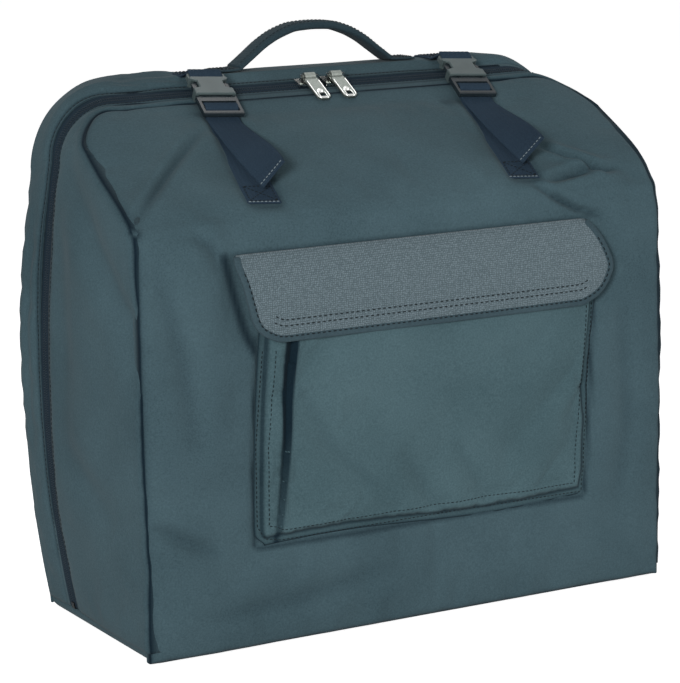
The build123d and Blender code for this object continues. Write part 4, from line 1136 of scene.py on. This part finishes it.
def lid_strap(side, x):
    """Rear strap: its loop through the buckle's end slot and its run to its sewn end on top."""
    start, across, along, out = strap_axes(x)
    slot_middle = END_SLOT + 2.0
    under, over = BUCKLE_LIFT - 1.1, BUCKLE_TOP + 1.1
    past = MOUTH + 32.0 + WEBBING
    loop = [(past + 3.0, under), (slot_middle + 1.2, under), (slot_middle, under + 1.2),
            (slot_middle, over - 1.2), (slot_middle + 1.2, over), (past + 2.8, over)]
    middle, turned = path_frames(loop, start, along, out)
    ribbon(side + "_lid_strap_loop", middle, across, turned, WEB_WIDE, WEBBING, WEB, "lid",
           side + "_lid_webbing")
    x_mid, y, z = start + (past + 0.8) * along + over * out
    seat = CREST_Z + 0.8
    run = [(y, z), (CREST_Y - 4, CREST_Z + 0.1), (CREST_Y + 2, seat), (CREST_Y + 25, seat)]
    middle, up = path_frames(run, X_AXIS * x_mid, Y_AXIS, Z_AXIS, 30, 1)
    ribbon(side + "_lid_strap_run", middle, X_AXIS, up, WEB_WIDE, WEBBING, WEB, "lid",
           side + "_lid_webbing")
    corners = [(x_mid + a, CREST_Y + b, CREST_Z + 1.75)
               for a, b in ((-12, 3), (12, 3), (12, 23), (-12, 23))]
    box_stitches(side + "_lid_strap_stitches", corners, Z_AXIS, "lid")


# ---- handle ----
def handle():
    """Padded carrying handle with two rows of stitching and its two sewn anchors."""
    mid_y = (CREST_Y + BACK_FACE) / 2
    centre = (HANDLE_LEFT + HANDLE_RIGHT) / 2
    rise = ((0, 3.0), (5, 6.6), (15, 14.0), (24, 21.0), (38, 29.0))
    arch = ([(HANDLE_LEFT + a, b) for a, b in rise]
            + [(centre - 20, 35.2), (centre, 36.2), (centre + 20, 35.2)]
            + [(HANDLE_RIGHT - a, b) for a, b in rise[::-1]])
    foot = Y_AXIS * mid_y + Z_AXIS * CREST_Z
    middle, up = path_frames(arch, foot, X_AXIS, Z_AXIS, 130, 20)
    share = np.linspace(0, 1, len(middle))[:, None]
    padded = np.clip(np.minimum(share, 1 - share) / 0.22 - 0.35, 0, 1)
    thick = GRIP_THICK + GRIP_PADDING * padded
    turn = np.linspace(0, 2 * math.pi, 28, False)
    flat, tall = (np.sign(wave) * np.abs(wave) ** power
                  for wave, power in ((np.cos(turn), 0.6), (np.sin(turn), 0.75)))
    points = (middle[:, None] + Y_AXIS * (flat * (GRIP_WIDE - GRIP_PADDING * padded))[..., None]
              + up[:, None] * (tall * thick)[..., None])
    grip = make("handle_padded_grip", points.reshape(-1, 3),
                swept_faces(len(middle), len(turn)), GRIP)
    face_outwards(grip)
    settle(grip, "lid", "webbing", "handle_grip")
    rows = []
    for off in (-8.2, 8.2):
        row = middle + up * thick * 0.93 + Y_AXIS * off
        rows.append((row[3:-3], nearest(row, up)))
    stitches("handle_stitches", rows, "lid", "webbing", 2.6, 1.4, 0.3, lift=0.0)
    for side, foot, way in (("left", HANDLE_LEFT, -1), ("right", HANDLE_RIGHT, 1)):
        xs = np.linspace(foot - way * 1.0, foot + way * 24.0, 22)
        z = CREST_Z + 1.5 + 1.1 * np.exp(-np.abs(xs - foot) / 4.0)
        ribbon(side + "_anchor_weave", points_of(xs, mid_y, z), Y_AXIS, Z_AXIS, 26.0, 2.2, GRIP,
               "lid", side + "_handle_anchor")
        corners = [(foot + way * a, mid_y + b, CREST_Z + 2.9)
                   for a, b in ((5, -10), (22, -10), (22, 10), (5, 10))]
        box_stitches(side + "_anchor_stitches", corners, Z_AXIS, "lid", 1.2)


# ---- zip pulls: raised details on the solids ----
def pull_details(side, x):
    """Rim, window rim and boss on a zip pull, which hangs down the slope from its eye."""
    eye = np.array([x, PULL_EYE_Y, PULL_EYE_Z])
    down = np.array([0.0, -math.cos(SLOPE), -math.sin(SLOPE)])
    out = np.array([0.0, -math.sin(SLOPE), math.cos(SLOPE)])
    outline = [(-5.6, 7.6), (-5.7, 18), (-5.7, 30.2), (-2.9, 33.0), (2.9, 33.0), (5.7, 30.2),
               (5.7, 18), (5.6, 7.6)]
    window = [(-3.2, 25.0), (3.2, 25.0), (3.2, 31.4), (-3.2, 31.4), (-3.2, 25.0)]
    for name, corners, proud, step, rounds, radius in (
            ("_pull_rim", outline, 1.0, 0.6, 6, 0.72),
            ("_pull_window_rim", window, 0.95, 0.5, 0, 0.45)):
        path = [eye + X_AXIS * a + down * b + out * proud for a, b in corners]
        rim = tube(side + name, smoothed(even_path(path, step), rounds), radius, METAL, 8)
        settle(rim, side + "_pull", "zip_metal")
    turn, rise = plane(0, 2 * math.pi * 23 / 24, 24, 0, math.pi / 2, 9)
    a = 3.4 * np.cos(rise) * np.cos(turn)
    b = 22.0 + 2.5 * np.cos(rise) * np.sin(turn)
    height = 0.7 + 1.5 * np.sin(rise)
    points = eye + np.stack([a, b, height], -1) @ np.stack([X_AXIS, down, out])
    boss = make(side + "_pull_boss", points.reshape(-1, 3), swept_faces(9, 24, False), METAL)
    settle(boss, side + "_pull", "zip_metal")


# ---- rigid parts keep their solids ----
def dress(material, width, *names):
    """Gives rigid parts their material and finely rounded edges."""
    for name in names:
        node = frame["nodes"][name]
        node.data.materials.clear()
        node.data.materials.append(material)
        bevel = node.modifiers.new("edge", "BEVEL")
        bevel.width = width * MM
        bevel.segments = 2
        bevel.limit_method = "ANGLE"
        bevel.angle_limit = math.radians(40)


front_cover()
gusset_covers()
back_cover()
base_cover()
lining()
zip_run()
pocket()
flap()
for side_name, place in STRAPS.items():
    strap(side_name, place)
    lid_strap(side_name, place)
handle()
for side_name, place in PULLS.items():
    dress(PLASTIC, 0.4, side_name + "_female_buckle")
    dress(DARK_PLASTIC, 0.5, side_name + "_male_buckle", side_name + "_buckle_inner_prong",
          side_name + "_buckle_outer_prong")
    pull_details(side_name, place)
    dress(METAL, 0.6, side_name + "_zip_slider")
    dress(SATIN, 0.3, side_name + "_zip_pull")
dress(BLACKED, 0.2, "zip_end_stops")
dress(BOARD, 0.3, "base_board", "back_board")

# ---- camera ----
CAMERA_AT = Vector((-1.140, -2.058, 0.677))
AZIMUTH, ELEVATION, ROLL = (math.radians(turn) for turn in (-28.78, 10.89, -1.28))
right = Vector((math.cos(AZIMUTH), math.sin(AZIMUTH), 0))
ahead = Vector((-math.sin(AZIMUTH) * math.cos(ELEVATION),
                math.cos(AZIMUTH) * math.cos(ELEVATION), -math.sin(ELEVATION)))
up = right.cross(ahead)
rolled_right = math.cos(ROLL) * right + math.sin(ROLL) * up
rolled_up = -math.sin(ROLL) * right + math.cos(ROLL) * up
camera = bpy.data.objects.new("camera", bpy.data.cameras.new("camera"))
bpy.context.scene.collection.objects.link(camera)
camera.matrix_world = Matrix((
    (rolled_right.x, rolled_up.x, -ahead.x, CAMERA_AT.x),
    (rolled_right.y, rolled_up.y, -ahead.y, CAMERA_AT.y),
    (rolled_right.z, rolled_up.z, -ahead.z, CAMERA_AT.z), (0, 0, 0, 1)))
camera.data.lens = 144.9
camera.data.sensor_width = 36
bpy.context.scene.camera = camera


# ---- floor, world and lamps ----
WHITE = (1, 1, 1, 1)
FLOOR_GLOW, WORLD_LIGHT = 0.74, 0.28
LAMPS = (("key", (-3.3, -3.85, 1.5), 1.0, 232.0),         # name, place, size, power
         ("fill", (2.2, -1.6, 0.7), 1.2, 24.0),
         ("top", (0.4, 0.8, 2.4), 1.0, 7.0))
LIT_PLACE = Vector((0, 0, 0.22))


def surroundings():
    """White floor and backdrop that light the case evenly, and three lamps."""
    bpy.ops.mesh.primitive_plane_add(size=60)
    floor = bpy.context.active_object
    floor.name = "floor"
    paper, paper_tree, glow = shader("floor_paper", (0.9, 0.9, 0.9), 0.9, specular=0.0)
    glow.inputs["Emission Color"].default_value = WHITE
    seen_floor = paper_tree.nodes.new("ShaderNodeLightPath").outputs["Is Camera Ray"]
    paper_tree.links.new(product(paper_tree, seen_floor, FLOOR_GLOW),
                         glow.inputs["Emission Strength"])
    floor.data.materials.append(paper)
    world = bpy.data.worlds.new("world")
    bpy.context.scene.world = world
    world.use_nodes = True
    tree = world.node_tree
    ground = tree.nodes["Background"]
    ground.inputs[0].default_value = WHITE
    ground.inputs[1].default_value = WORLD_LIGHT
    white = tree.nodes.new("ShaderNodeBackground")
    white.inputs[0].default_value = WHITE
    white.inputs[1].default_value = 1.0
    mix = tree.nodes.new("ShaderNodeMixShader")
    rays = tree.nodes.new("ShaderNodeLightPath")
    seen = math_node(tree, "MAXIMUM", rays.outputs["Is Camera Ray"], rays.outputs["Is Glossy Ray"])
    tree.links.new(seen, mix.inputs[0])
    tree.links.new(ground.outputs[0], mix.inputs[1])
    tree.links.new(white.outputs[0], mix.inputs[2])
    tree.links.new(mix.outputs[0], tree.nodes["World Output"].inputs[0])
    for name, at, size, power in LAMPS:
        light = bpy.data.lights.new(name, "AREA")
        light.energy, light.size = power, size
        lamp = bpy.data.objects.new(name, light)
        bpy.context.scene.collection.objects.link(lamp)
        lamp.location = at
        lamp.rotation_euler = (LIT_PLACE - lamp.location).to_track_quat("-Z", "Y").to_euler()


surroundings()
bpy.context.scene.view_settings.view_transform = "Standard"
